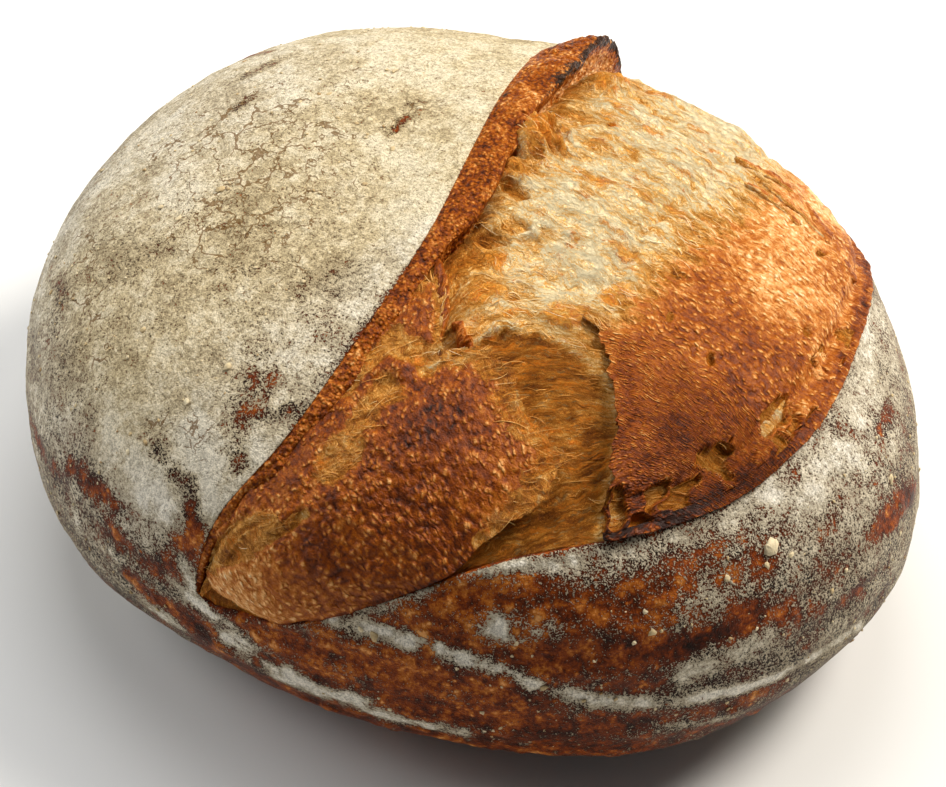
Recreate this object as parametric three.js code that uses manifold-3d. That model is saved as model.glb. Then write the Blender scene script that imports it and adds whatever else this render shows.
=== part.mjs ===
// Sourdough loaf, one solid. Millimetres, +Z up, standing on its flat foot with the origin under its middle.
// The score runs along Y. The floured dome lies on its -X side, and on its +X side the bloom: the crumb that
// burst out of the cut in the oven. It fills a pocket cut in the crust's body with a bed of torn crumb and two
// browned skins on that bed, the tongue and the shield. The ear is the lip of the cut that the bloom lifted.
import * as THREE from "three";
import { mergeVertices } from "three/addons/utils/BufferGeometryUtils.js";
import Module from "manifold-3d";

const wasm = await Module();
wasm.setup();

// ---------- Driving dimensions ----------

// The plain form is a superellipsoid round the heart, a point at the level of the widest girth.
const GIRTH_RADIUS = 119.6; // mean plan radius
const OVAL = 0.081; // how much longer X is than the mean, and Y shorter, as a share
const EGG = 0.02; // three-fold share that fills the +X end
const HEIGHT = 112; // crown of the plain form
const HEART_Z = 46.4; // level of the widest girth
const CROWN_POWER = 2.3; // fullness of the shoulders above the girth
const FOOT_POWER = 2.6; // fullness of the flank below it
const FOOT_SINK = 8; // the foot's curve would end this far below the table, which cuts it flat

// Swellings and hollows of the hand-shaped dough: azimuth and rise seen from the heart, and spread, in
// degrees, and height in millimetres.
const LUMPS = [
  { name: "front left foot", azimuth: 241, rise: -14, spread: 19, height: 2.9 },
  { name: "front waist", azimuth: 263, rise: -16, spread: 19, height: -1.6 },
  { name: "front foot", azimuth: 285, rise: -18, spread: 20, height: 1.3 },
  { name: "front hollow", azimuth: 305, rise: -18, spread: 18, height: -0.8 },
  { name: "front right foot", azimuth: 327, rise: -16, spread: 19, height: 3.2 },
  { name: "right waist", azimuth: 348, rise: -8, spread: 18, height: -0.7 },
  { name: "right flank", azimuth: 7, rise: -4, spread: 13, height: 1.2 },
  { name: "right shoulder", azimuth: 30, rise: 20, spread: 26, height: -5.6 },
  { name: "back right shoulder", azimuth: 60, rise: 22, spread: 26, height: 2.6 },
  { name: "back of the dome", azimuth: 163, rise: 27, spread: 30, height: 3.2 },
  { name: "left of the dome", azimuth: 190, rise: 20, spread: 26, height: -1.8 },
  { name: "saddle before the ear", azimuth: 108, rise: 34, spread: 22, height: -2.9 },
];

// The score, from its near tip to its far tip: where the floured skin ends on the ear's side and on the lower
// side, how wide the ear's cut face is, and how high its lip and its floured edge stand over the plain form.
const STATIONS = [
  { ear: [-9, -110, 52], lower: [-4, -110, 50], earWidth: 1.5, lip: 0, edge: 0 },
  { ear: [-6, -102, 76], lower: [20, -108, 57], earWidth: 3, lip: 0.2, edge: 0.8 },
  { ear: [2, -82, 94], lower: [47, -95, 74], earWidth: 4, lip: 0.3, edge: 1.2 },
  { ear: [3, -52, 105], lower: [66, -78, 84], earWidth: 5, lip: 0.4, edge: 1.6 },
  { ear: [-1, -20, 110], lower: [88, -56, 88], earWidth: 7, lip: 1.4, edge: 1.8 },
  { ear: [-10, 12, 110], lower: [104, -28, 89], earWidth: 11, lip: 2.8, edge: 2.2 },
  { ear: [-21, 44, 107], lower: [107, 6, 89], earWidth: 12.5, lip: 4.6, edge: 2.4 },
  { ear: [-31, 78, 96], lower: [97, 44, 84], earWidth: 13.5, lip: 7.4, edge: 2.8 },
  { ear: [-33, 100, 78], lower: [70, 82, 68], earWidth: 10.5, lip: 7, edge: 2.4 },
  { ear: [-29, 109, 58], lower: [32, 105, 58], earWidth: 6, lip: 3, edge: 1.4 },
  { ear: [-20, 112, 48], lower: [-12, 112, 47], earWidth: 2, lip: 0, edge: 0 },
];
const SCORE_LENGTH = 235; // along the ear, to scale what runs along it
const SCORE_SPAN = 110; // a middling span across the score, to scale what runs across it
const SCORE_DEPTH = 12; // depth of the pocket the bloom fills
const BLOOM_ROOT = 3; // how far the bloom's bed reaches into the loaf below the pocket
const BLOOM_TUCK = 2; // and how far under the crust on both sides

// The ear's skin swells up from the dome over this width, and its lip is ragged.
const EAR_SWELL = 13;
const EAR_ROOT = 14; // how far the ear's body reaches below the plain form
const EAR_RAGS = { width: 1.3, height: 1.1, length: 8 };

// The bed of torn crumb: its height over the plain form where it was stretched first and last, its drop beside
// the ear, and the folds that run across the score.
const BED = { early: -0.3, late: -2.8, tuck: -6 };
const EAR_DROP = { near: 3.5, far: 8.5, reach: 13 };
const FOLDS = { height: 1, length: 30, width: 9 };

// Browned skins over the bed, in shares across and along the score: the outline, each point with its height over
// the plain form, a middle point, and the height of the mound between.
const TONGUE = {
  name: "tongue",
  middle: [0.45, 0.21],
  mound: 4.4,
  around: 52,
  outline: [
    [0.96, 0.262, 0.8], [0.93, 0.296, 1], [0.9, 0.325, 1.2], [0.86, 0.37, 1.4], [0.81, 0.392, 1.5],
    [0.73, 0.394, 1.2], [0.64, 0.393, 1.4], [0.56, 0.399, 1.2], [0.47, 0.394, 1.5], [0.4, 0.373, 1.2],
    [0.33, 0.362, 1.3], [0.22, 0.388, 1.2], [0.13, 0.405, 0.6], [0.07, 0.4, -0.6], [0.02, 0.36, -1.6],
    [0.015, 0.3, -1.6], [0.015, 0.23, -1.6], [0.015, 0.16, -1.6], [0.02, 0.1, -1.2], [0.04, 0.06, -0.8],
    [0.2, 0.035, -0.6], [0.6, 0.04, -0.4], [0.93, 0.07, 0.2], [0.97, 0.12, 0.5], [0.975, 0.17, 0.7],
    [0.975, 0.22, 0.8],
  ],
};
const SHIELD = {
  name: "shield",
  middle: [0.78, 0.63],
  mound: 0.9,
  around: 64,
  outline: [
    [0.525, 0.69, -1.2], [0.52, 0.65, -1.2], [0.525, 0.613, -1], [0.53, 0.575, -0.3], [0.56, 0.54, 0.6],
    [0.58, 0.505, 1.3], [0.6, 0.48, 1.6], [0.665, 0.478, 1.2], [0.725, 0.468, 1.4], [0.775, 0.458, 1.2],
    [0.82, 0.443, 1.5], [0.845, 0.432, 1.2], [0.9, 0.413, 1.4], [0.95, 0.394, 1.2], [0.98, 0.385, 1.2],
    [0.985, 0.42, 1.6], [0.985, 0.46, 1.4], [0.985, 0.5, 1.8], [0.985, 0.54, 1.5], [0.985, 0.58, 1.8],
    [0.985, 0.62, 1.5], [0.985, 0.66, 1.7], [0.985, 0.7, 1.5], [0.985, 0.74, 1.4], [0.98, 0.79, 1.2],
    [0.95, 0.84, 0.4], [0.86, 0.87, -0.8], [0.74, 0.86, -1.2], [0.64, 0.82, -1.2], [0.57, 0.76, -1.2],
  ],
};
const RIM_GROOVE = { depth: 1.7, width: 2.6, inset: 6 }; // pitted groove inside the shield's lower rim
const SKIN_BUMPS = { height: 0.5, length: 12 };
const SKIN_SHARES = [0.15, 0.4, 0.62, 0.8, 0.91, 0.97, 1]; // from a skin's middle to its outline
const SKIN_ROOT = 12; // how far a skin's body reaches below the plain form

// Torn crags and taut strands, in shares across and along the score, half buried in what they lie on.
const CRAGS = [
  { name: "strand from ear to tongue", from: [0.115, 0.409], to: [0.31, 0.366], lift: 0.5, width: 4, height: 1.5 },
  { name: "valley strand", from: [0.32, 0.45], to: [0.55, 0.43], lift: -2.2, width: 4, height: 1.1 },
  { name: "upper strand", from: [0.16, 0.49], to: [0.46, 0.5], lift: -1, width: 5, height: 1.1 },
  { name: "upper strand", from: [0.2, 0.56], to: [0.5, 0.57], lift: -0.5, width: 5, height: 1.1 },
  { name: "upper strand", from: [0.2, 0.64], to: [0.48, 0.65], lift: -0.3, width: 5, height: 1.1 },
  { name: "crag on the shield", from: [0.62, 0.675], to: [0.78, 0.735], lift: 0.8, width: 4.5, height: 1 },
  { name: "crag on the shield", from: [0.76, 0.69], to: [0.92, 0.76], lift: 0.8, width: 4.5, height: 1.3 },
  { name: "crag under the ear", from: [0.08, 0.61], to: [0.2, 0.63], lift: -3.4, width: 5, height: 2.6 },
  { name: "crag under the ear", from: [0.08, 0.7], to: [0.2, 0.71], lift: -3, width: 5, height: 2.8 },
];
const CRAG_ROOT = 9; // how far a crag's body reaches down into what it lies on
const CRAG_STEPS = 6;

// Flakes of dried flour paste on the skin: azimuth and rise from the heart in degrees, and size across.
const FLAKES = [
  { azimuth: 346, rise: 15, size: 6 },
  { azimuth: 348, rise: 13, size: 3.6 },
  { azimuth: 339, rise: 14, size: 3.4 },
  { azimuth: 293, rise: 8, size: 4.4 },
  { azimuth: 328, rise: 13, size: 3 },
  { azimuth: 145, rise: 56, size: 4 },
  { azimuth: 352, rise: 6, size: 3.4 },
  { azimuth: 204, rise: 40, size: 3.6 },
  { azimuth: 110, rise: 8, size: 4 },
];
const FLAKE_RISE = 0.3; // thickness as a share of the size

// Fineness of the bodies.
const CRUST_DETAIL = 12; // each side of the icosahedron is cut into one more than this
const BED_STEPS = { along: 52, across: 26, floor: 3 };
const EAR_STEPS = 56;

// ---------- Small tools ----------

const heart = new THREE.Vector3(0, 0, HEART_Z);
const radians = THREE.MathUtils.degToRad;
const { lerp, clamp, smoothstep } = THREE.MathUtils;
const bell = (x, width) => Math.exp(-((x / width) ** 2));

// A number from 0 to 1 for each corner of a lattice.
function latticeValue(i, j, k) {
  const s = Math.sin(i * 127.1 + j * 311.7 + k * 74.7) * 43758.5453;
  return s - Math.floor(s);
}

// Smooth noise from -1 to 1 with features one unit across.
function noise(x, y, z) {
  const cell = [x, y, z].map(Math.floor);
  const [u, v, w] = [x, y, z].map((c, axis) => {
    const f = c - cell[axis];
    return f * f * (3 - 2 * f);
  });
  const row = (j, k) => {
    const low = latticeValue(cell[0], cell[1] + j, cell[2] + k);
    return lerp(low, latticeValue(cell[0] + 1, cell[1] + j, cell[2] + k), u);
  };
  return 2 * lerp(lerp(row(0, 0), row(1, 0), v), lerp(row(0, 1), row(1, 1), v), w) - 1;
}

function directionOf(azimuth, rise) {
  const [a, b] = [radians(azimuth), radians(rise)];
  return new THREE.Vector3(Math.cos(b) * Math.cos(a), Math.cos(b) * Math.sin(a), Math.sin(b));
}

// ---------- The plain form ----------

// The half above the girth and the half below it each have their own height and power.
function halfOf(direction) {
  const above = direction.z >= 0;
  return {
    height: above ? HEIGHT - HEART_Z : HEART_Z + FOOT_SINK,
    power: above ? CROWN_POWER : FOOT_POWER,
  };
}

function planRadius(azimuth) {
  return GIRTH_RADIUS * (1 + OVAL * Math.cos(2 * azimuth) + EGG * Math.cos(3 * azimuth));
}

const lumpDirections = LUMPS.map((lump) => directionOf(lump.azimuth, lump.rise));

// Distance from the heart to the plain form along a direction, with the lumps.
function plainReach(direction) {
  const { height, power } = halfOf(direction);
  const level = Math.hypot(direction.x, direction.y);
  const radius = planRadius(Math.atan2(direction.y, direction.x));
  let reach = ((level / radius) ** power + (Math.abs(direction.z) / height) ** power) ** (-1 / power);
  LUMPS.forEach((lump, i) => {
    const angle = direction.angleTo(lumpDirections[i]);
    reach += lump.height * bell(angle, radians(lump.spread));
  });
  return reach;
}

function plainNormal(direction) {
  const { height, power } = halfOf(direction);
  const level = Math.max(Math.hypot(direction.x, direction.y), 1e-6);
  const radius = planRadius(Math.atan2(direction.y, direction.x));
  const outward = (level / radius) ** (power - 1) / radius / level;
  const upward = (Math.sign(direction.z) * (Math.abs(direction.z) / height) ** (power - 1)) / height;
  return new THREE.Vector3(direction.x * outward, direction.y * outward, upward).normalize();
}

// A point over the plain form by lift, measured square to it.
function skinPoint(direction, lift = 0) {
  const point = direction.clone().multiplyScalar(plainReach(direction)).add(heart);
  return point.addScaledVector(plainNormal(direction), lift);
}

// ---------- The score ----------

const stationCurve = (key) => {
  const points = STATIONS.map((station) => new THREE.Vector3(...station[key]));
  return new THREE.CatmullRomCurve3(points, false, "catmullrom", 0.5);
};
const earCurve = stationCurve("ear");
const lowerCurve = stationCurve("lower");

const directionTo = (point) => point.clone().sub(heart).normalize();
const earDirection = (t) => directionTo(earCurve.getPoint(t));
const lowerDirection = (t) => directionTo(lowerCurve.getPoint(t));

// A station's number at t, from 0 at the near tip to 1 at the far tip.
function stationValue(key, t) {
  const place = clamp(t, 0, 1) * (STATIONS.length - 1);
  const first = Math.min(Math.floor(place), STATIONS.length - 2);
  return lerp(STATIONS[first][key], STATIONS[first + 1][key], place - first);
}

// A direction at share s of the way from the ear's side to the lower side.
function acrossScore(s, t) {
  const from = earDirection(t);
  const to = lowerDirection(t);
  const angle = Math.max(from.angleTo(to), 1e-4);
  const [a, b] = [Math.sin((1 - s) * angle), Math.sin(s * angle)];
  return from.multiplyScalar(a).addScaledVector(to, b).normalize();
}

// Distance over the skin from the ear's side to the lower side at t.
const scoreWidth = (t) => skinPoint(earDirection(t)).distanceTo(skinPoint(lowerDirection(t)));

// ---------- Relief of the bed and of the skins on it ----------

function bedLift(s, t, width) {
  const fromEar = s * width;
  const stretchedFirst = smoothstep(t, 0.44, 0.56) * (1 - smoothstep(s, 0.5, 0.62));
  const farEnd = smoothstep(t, 0.84, 0.9);
  let lift = lerp(BED.late, BED.early, Math.max(stretchedFirst, farEnd));
  lift += FOLDS.height * noise(fromEar / FOLDS.length, (t * SCORE_LENGTH) / FOLDS.width, 5);
  lift -= lerp(EAR_DROP.near, EAR_DROP.far, smoothstep(t, 0.3, 0.55)) * bell(fromEar, EAR_DROP.reach);
  const tips = smoothstep(t, 0, 0.09) * smoothstep(1 - t, 0, 0.09);
  const open = s >= 0 && s <= 1;
  return open ? lerp(BED.late, lift, tips) : Math.min(BED.tuck, lift - 1);
}

function skinLift(skin, share, rimLift, s, t) {
  const { height, length } = SKIN_BUMPS;
  const bumps = height * noise((s * SCORE_SPAN) / length, (t * SCORE_LENGTH) / length, 9);
  const fromRim = (1 - s) * scoreWidth(t);
  const groove = skin === SHIELD ? RIM_GROOVE.depth * bell(fromRim - RIM_GROOVE.inset, RIM_GROOVE.width) : 0;
  const inner = lerp(Math.min(rimLift, 0.4), skin.mound, (1 - share) ** 0.6) + bumps * (1 - share);
  return lerp(inner, rimLift, smoothstep(share, 0.9, 1)) - groove;
}

// ---------- Closed bodies ----------

// Joins rings of as many points each into a closed body, shutting its two ends with fans.
function loft(rings) {
  const sides = rings[0].length;
  const middleOf = (ring) => ring.reduce((sum, p) => sum.add(p), new THREE.Vector3()).divideScalar(sides);
  const points = [...rings.flat(), middleOf(rings[0]), middleOf(rings.at(-1))];
  const faces = [];
  const at = (ring, i) => ring * sides + (i % sides);
  const last = rings.length - 1;
  for (let i = 0; i < sides; i++) {
    for (let ring = 0; ring < last; ring++) {
      faces.push(at(ring, i), at(ring, i + 1), at(ring + 1, i + 1));
      faces.push(at(ring, i), at(ring + 1, i + 1), at(ring + 1, i));
    }
    faces.push(points.length - 2, at(0, i + 1), at(0, i));
    faces.push(points.length - 1, at(last, i), at(last, i + 1));
  }
  const geometry = new THREE.BufferGeometry().setFromPoints(points);
  geometry.setIndex(faces);
  return geometry;
}

function solidOf(geometry) {
  geometry.deleteAttribute("normal");
  geometry.deleteAttribute("uv");
  const merged = mergeVertices(geometry, 1e-4);
  const mesh = new wasm.Mesh({
    numProp: 3,
    vertProperties: merged.attributes.position.array,
    triVerts: new Uint32Array(merged.index.array),
  });
  return new wasm.Manifold(mesh);
}

// The crust: an even ball of triangles, each corner moved out to the skin and cut flat at the table.
function crustGeometry() {
  const geometry = new THREE.IcosahedronGeometry(1, CRUST_DETAIL);
  const corners = geometry.attributes.position;
  const stretch = new THREE.Vector3(1, 0.9, 0.62);
  for (let i = 0; i < corners.count; i++) {
    const direction = new THREE.Vector3().fromBufferAttribute(corners, i).multiply(stretch).normalize();
    const toTable = direction.z < 0 ? HEART_Z / -direction.z : Infinity;
    const reach = Math.min(plainReach(direction), toTable);
    corners.setXYZ(i, ...direction.multiplyScalar(reach).add(heart).toArray());
  }
  return geometry;
}

// A body between the two sides of the score: liftOf gives its top, its floor is plain, and it stops short of the
// score's tips by the share given.
function acrossBody(tipShare, tuck, floorLift, liftOf) {
  const rings = [];
  for (let i = 0; i <= BED_STEPS.along; i++) {
    const t = lerp(tipShare, 1 - tipShare, i / BED_STEPS.along);
    const width = scoreWidth(t);
    const [first, last] = [-tuck / width, 1 + tuck / width];
    const ring = [];
    for (let j = 0; j <= BED_STEPS.across; j++) {
      const s = lerp(first, last, j / BED_STEPS.across);
      ring.push(skinPoint(acrossScore(s, t), liftOf(s, t, width)));
    }
    for (let j = BED_STEPS.floor; j >= 0; j--) {
      ring.push(skinPoint(acrossScore(lerp(first, last, j / BED_STEPS.floor), t), floorLift));
    }
    rings.push(ring);
  }
  return loft(rings);
}

// A browned skin: rings from its middle out to its torn outline, over a plain root in the loaf.
function skinGeometry(skin) {
  const border = new THREE.CatmullRomCurve3(
    skin.outline.map((point) => new THREE.Vector3(...point)),
    true,
    "catmullrom",
    0.5,
  );
  const ringAt = (share, liftOf) => {
    const ring = [];
    for (let i = 0; i < skin.around; i++) {
      const edge = border.getPoint(i / skin.around);
      const [s, t] = [lerp(skin.middle[0], edge.x, share), lerp(skin.middle[1], edge.y, share)];
      ring.push(skinPoint(acrossScore(s, t), liftOf(edge.z, s, t)));
    }
    return ring;
  };
  const top = SKIN_SHARES.map((share) => ringAt(share, (rim, s, t) => skinLift(skin, share, rim, s, t)));
  const skirt = ringAt(0.985, () => 1 - SKIN_ROOT);
  const root = ringAt(0.6, () => -SKIN_ROOT);
  return loft([...top, skirt, root].reverse());
}

// The ear in section, as distances from its floured edge towards the bloom and heights over the plain form:
// the swelling skin, the cut face, the charred lip, and the hollow wall under it.
function earSection(t) {
  const along = (t * SCORE_LENGTH) / EAR_RAGS.length;
  const lip = stationValue("lip", t) * (1 + (EAR_RAGS.height * noise(along, 0, 3)) / 5);
  const width = stationValue("earWidth", t) + EAR_RAGS.width * noise(along, 0, 8);
  const edge = stationValue("edge", t);
  const swell = [-1.7, -1.15, -0.7, -0.35, -0.12].map((share) => {
    const w = share * EAR_SWELL;
    return [w, edge * bell(w, EAR_SWELL) - 0.3];
  });
  return [
    ...swell,
    [0, edge],
    [0.3 * width, lerp(edge, lip, 0.3) + 0.07 * width],
    [0.65 * width, lerp(edge, lip, 0.7) + 0.06 * width],
    [0.92 * width, lip],
    [width, lip - 0.9],
    [0.93 * width, lip - 0.3 * width],
    [0.8 * width, lip - 0.62 * width],
    [0.78 * width, lip - width - 1],
    [0.75 * width, -EAR_ROOT],
    [-1.2 * EAR_SWELL, -EAR_ROOT],
  ];
}

function earGeometry() {
  const rings = [];
  for (let i = 0; i <= EAR_STEPS; i++) {
    const t = lerp(0.02, 0.985, i / EAR_STEPS);
    const here = earDirection(t);
    const start = skinPoint(here);
    const run = skinPoint(earDirection(t + 0.004)).sub(skinPoint(earDirection(t - 0.004)));
    const towardsBloom = run.cross(plainNormal(here)).normalize();
    const aside = (w) => directionTo(start.clone().addScaledVector(towardsBloom, w));
    rings.push(earSection(t).map(([w, h]) => skinPoint(aside(w), h)));
  }
  return loft(rings);
}

// A crag: a tapered five-sided bar along a line of the score's chart, with its root buried.
function cragGeometry(crag) {
  const rings = [];
  for (let i = 0; i <= CRAG_STEPS; i++) {
    const share = i / CRAG_STEPS;
    const [s, t] = [lerp(crag.from[0], crag.to[0], share), lerp(crag.from[1], crag.to[1], share)];
    const sway = 0.004 * noise(share * 4, s * 9, 2);
    const fullness = 0.15 + 0.85 * Math.sin(Math.PI * share) ** 0.6;
    const half = (0.5 * crag.width * fullness) / SCORE_LENGTH;
    const point = (across, lift) => skinPoint(acrossScore(s, t + sway + across * half), crag.lift + lift);
    const crest = crag.height * fullness;
    const root = [point(-0.6, -CRAG_ROOT), point(0.6, -CRAG_ROOT)];
    rings.push([point(-1, -0.4), ...root, point(1, -0.4), point(0.1, crest)]);
  }
  return loft(rings);
}

function flakeGeometry(flake, i) {
  const geometry = new THREE.IcosahedronGeometry(flake.size / 2, 0);
  geometry.rotateZ(i * 1.7);
  geometry.scale(1, 0.75, FLAKE_RISE * 2);
  const direction = directionOf(flake.azimuth, flake.rise);
  const lay = new THREE.Quaternion().setFromUnitVectors(new THREE.Vector3(0, 0, 1), plainNormal(direction));
  const spot = skinPoint(direction, 0.1);
  return geometry.applyQuaternion(lay).translate(spot.x, spot.y, spot.z);
}

// ---------- The loaf ----------

const pocket = solidOf(acrossBody(0.008, 0, -SCORE_DEPTH, () => SCORE_DEPTH));
const bed = acrossBody(0.001, BLOOM_TUCK, -SCORE_DEPTH - BLOOM_ROOT, bedLift);
const added = [
  bed,
  skinGeometry(TONGUE),
  skinGeometry(SHIELD),
  earGeometry(),
  ...CRAGS.map(cragGeometry),
  ...FLAKES.map(flakeGeometry),
].map(solidOf);
const joined = added.reduce((loaf, body) => loaf.add(body), solidOf(crustGeometry()).subtract(pocket)).getMesh();
const loafGeometry = new THREE.BufferGeometry()
  .setAttribute("position", new THREE.BufferAttribute(joined.vertProperties, 3))
  .setIndex(new THREE.BufferAttribute(joined.triVerts, 1));
loafGeometry.computeVertexNormals();

const bakedCrust = new THREE.MeshStandardMaterial({ color: 0xb98a57, roughness: 0.85, metalness: 0 });
const loaf = new THREE.Mesh(loafGeometry, bakedCrust);
loaf.name = "loaf";

const part = new THREE.Group();
part.add(loaf);
export default part;
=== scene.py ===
# Looks of the sourdough loaf: floured hearth crust, torn bloom with browned skins, charred ear, crumb strands
# and flour clumps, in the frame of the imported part. Sizes are in millimetres until a mesh is made.
import math

import bmesh
import bpy
import numpy as np
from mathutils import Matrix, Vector


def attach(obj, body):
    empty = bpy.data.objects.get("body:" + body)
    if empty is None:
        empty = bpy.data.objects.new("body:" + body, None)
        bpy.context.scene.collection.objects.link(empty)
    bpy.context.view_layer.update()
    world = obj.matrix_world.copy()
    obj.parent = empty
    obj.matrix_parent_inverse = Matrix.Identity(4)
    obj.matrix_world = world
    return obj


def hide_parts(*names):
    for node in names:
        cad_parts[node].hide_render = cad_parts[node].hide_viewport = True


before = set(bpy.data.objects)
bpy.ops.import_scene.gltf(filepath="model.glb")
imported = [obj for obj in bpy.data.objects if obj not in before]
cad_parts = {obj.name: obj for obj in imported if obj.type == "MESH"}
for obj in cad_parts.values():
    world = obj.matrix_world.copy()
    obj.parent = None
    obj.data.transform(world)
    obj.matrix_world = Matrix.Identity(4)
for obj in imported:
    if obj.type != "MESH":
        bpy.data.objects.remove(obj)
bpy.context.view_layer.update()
MM = 0.001

# ---------- The loaf's sizes, as in the solid ----------

GIRTH_RADIUS = 119.6
OVAL = 0.081
EGG = 0.02
HEIGHT = 112
HEART_Z = 46.4
CROWN_POWER = 2.3
FOOT_POWER = 2.6
FOOT_SINK = 8
LUMPS = [  # azimuth, rise, spread, height
    (241, -14, 19, 2.9), (263, -16, 19, -1.6), (285, -18, 20, 1.3), (305, -18, 18, -0.8),
    (327, -16, 19, 3.2), (348, -8, 18, -0.7), (7, -4, 13, 1.2), (30, 20, 26, -5.6),
    (60, 22, 26, 2.6), (163, 27, 30, 3.2), (190, 20, 26, -1.8), (108, 34, 22, -2.9),
]
STATIONS = {
    "ear": [(-9, -110, 52), (-6, -102, 76), (2, -82, 94), (3, -52, 105), (-1, -20, 110), (-10, 12, 110),
            (-21, 44, 107), (-31, 78, 96), (-33, 100, 78), (-29, 109, 58), (-20, 112, 48)],
    "lower": [(-4, -110, 50), (20, -108, 57), (47, -95, 74), (66, -78, 84), (88, -56, 88), (104, -28, 89),
              (107, 6, 89), (97, 44, 84), (70, 82, 68), (32, 105, 58), (-12, 112, 47)],
    "ear_width": [1.5, 3, 4, 5, 7, 11, 12.5, 13.5, 10.5, 6, 2],
    "lip": [0, 0.2, 0.3, 0.4, 1.4, 2.8, 4.6, 7.4, 7, 3, 0],
    "edge": [0, 0.8, 1.2, 1.6, 1.8, 2.2, 2.4, 2.8, 2.4, 1.4, 0],
}
SCORE_LENGTH = 235
SCORE_SPAN = 110  # a middling span across the score, to scale what runs across it
SCORE_DEPTH = 12
EAR_SWELL = 13
EAR_RAGS = {"width": 1.3, "height": 1.1, "length": 8}
BED = {"early": -0.3, "late": -2.8, "tuck": -6}
EAR_DROP = {"near": 3.5, "far": 8.5, "reach": 13}
FOLDS = {"height": 1, "length": 30, "width": 9}
TONGUE = {
    "name": "tongue", "middle": (0.45, 0.21), "mound": 4.4,
    "outline": [
        (0.96, 0.262, 0.8), (0.93, 0.296, 1), (0.9, 0.325, 1.2), (0.86, 0.37, 1.4), (0.81, 0.392, 1.5),
        (0.73, 0.394, 1.2), (0.64, 0.393, 1.4), (0.56, 0.399, 1.2), (0.47, 0.394, 1.5), (0.4, 0.373, 1.2),
        (0.33, 0.362, 1.3), (0.22, 0.388, 1.2), (0.13, 0.405, 0.6), (0.07, 0.4, -0.6), (0.02, 0.36, -1.6),
        (0.015, 0.3, -1.6), (0.015, 0.23, -1.6), (0.015, 0.16, -1.6), (0.02, 0.1, -1.2), (0.04, 0.06, -0.8),
        (0.2, 0.035, -0.6), (0.6, 0.04, -0.4), (0.93, 0.07, 0.2), (0.97, 0.12, 0.5), (0.975, 0.17, 0.7),
        (0.975, 0.22, 0.8),
    ],
}
SHIELD = {
    "name": "shield", "middle": (0.78, 0.63), "mound": 0.9,
    "outline": [
        (0.525, 0.69, -1.2), (0.52, 0.65, -1.2), (0.525, 0.613, -1), (0.53, 0.575, -0.3), (0.56, 0.54, 0.6),
        (0.58, 0.505, 1.3), (0.6, 0.48, 1.6), (0.665, 0.478, 1.2), (0.725, 0.468, 1.4), (0.775, 0.458, 1.2),
        (0.82, 0.443, 1.5), (0.845, 0.432, 1.2), (0.9, 0.413, 1.4), (0.95, 0.394, 1.2), (0.98, 0.385, 1.2),
        (0.985, 0.42, 1.6), (0.985, 0.46, 1.4), (0.985, 0.5, 1.8), (0.985, 0.54, 1.5), (0.985, 0.58, 1.8),
        (0.985, 0.62, 1.5), (0.985, 0.66, 1.7), (0.985, 0.7, 1.5), (0.985, 0.74, 1.4), (0.98, 0.79, 1.2),
        (0.95, 0.84, 0.4), (0.86, 0.87, -0.8), (0.74, 0.86, -1.2), (0.64, 0.82, -1.2), (0.57, 0.76, -1.2),
    ],
}
RIM_GROOVE = {"depth": 1.7, "width": 2.6, "inset": 6}
SKIN_BUMPS = {"height": 0.5, "length": 12}
SKIN_ROOT = 12

# ---------- Small tools ----------

heart = np.array([0, 0, HEART_Z])
chance = np.random.default_rng(7)


def lerp(a, b, share):
    return a + (b - a) * share


def step(x, low, high):
    """Rises smoothly from 0 at low to 1 at high."""
    f = np.clip((x - low) / (high - low), 0, 1)
    return f * f * (3 - 2 * f)


def bell(x, width):
    return np.exp(-((x / width) ** 2))


def unit(v):
    return v / np.maximum(np.linalg.norm(v, axis=-1, keepdims=True), 1e-12)


def lattice_value(i, j, k):
    s = np.sin(i * 127.1 + j * 311.7 + k * 74.7) * 43758.5453
    return s - np.floor(s)


def noise(x, y, z):
    """Smooth noise from -1 to 1 with features one unit across."""
    x, y, z = np.broadcast_arrays(x, y, z)
    i, j, k = np.floor(x), np.floor(y), np.floor(z)
    u, v, w = ((f * f * (3 - 2 * f)) for f in (x - i, y - j, z - k))
    row = lambda b, c: lerp(lattice_value(i, j + b, k + c), lattice_value(i + 1, j + b, k + c), u)
    return 2 * lerp(lerp(row(0, 0), row(1, 0), v), lerp(row(0, 1), row(1, 1), v), w) - 1


def rough(points, size, octaves=3, seed=0):
    """Layered noise over points, about -1 to 1, whose largest features are that many millimetres across."""
    total = 0
    for n in range(octaves):
        p = points * (2 ** n / size) + 17.3 * n + seed
        total = total + noise(p[..., 0], p[..., 1], p[..., 2]) * 0.55 ** n
    return total


def cells(a, b, size, seed=0.0, jitter=0.85):
    """Irregular cells: distance to the nearest centre, room to the nearest wall, a number per cell."""
    x, y = a / size, b / size
    i, j = np.floor(x), np.floor(y)
    first, second, name = np.full(x.shape, 9.0), np.full(x.shape, 9.0), np.zeros(x.shape)
    for step_i in (-1, 0, 1):
        for step_j in (-1, 0, 1):
            ci, cj = i + step_i, j + step_j
            away = np.hypot(ci + 0.5 + jitter * (lattice_value(ci, cj, seed) - 0.5) - x,
                            cj + 0.5 + jitter * (lattice_value(ci, cj, seed + 3.7) - 0.5) - y)
            second = np.where(away < first, first, np.minimum(second, away))
            name = np.where(away < first, lattice_value(ci, cj, seed + 9.1), name)
            first = np.minimum(first, away)
    return first, second - first, name


def direction_of(azimuth, rise):
    a, b = np.radians(azimuth), np.radians(rise)
    return np.stack(np.broadcast_arrays(np.cos(b) * np.cos(a), np.cos(b) * np.sin(a), np.sin(b)), -1)


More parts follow.
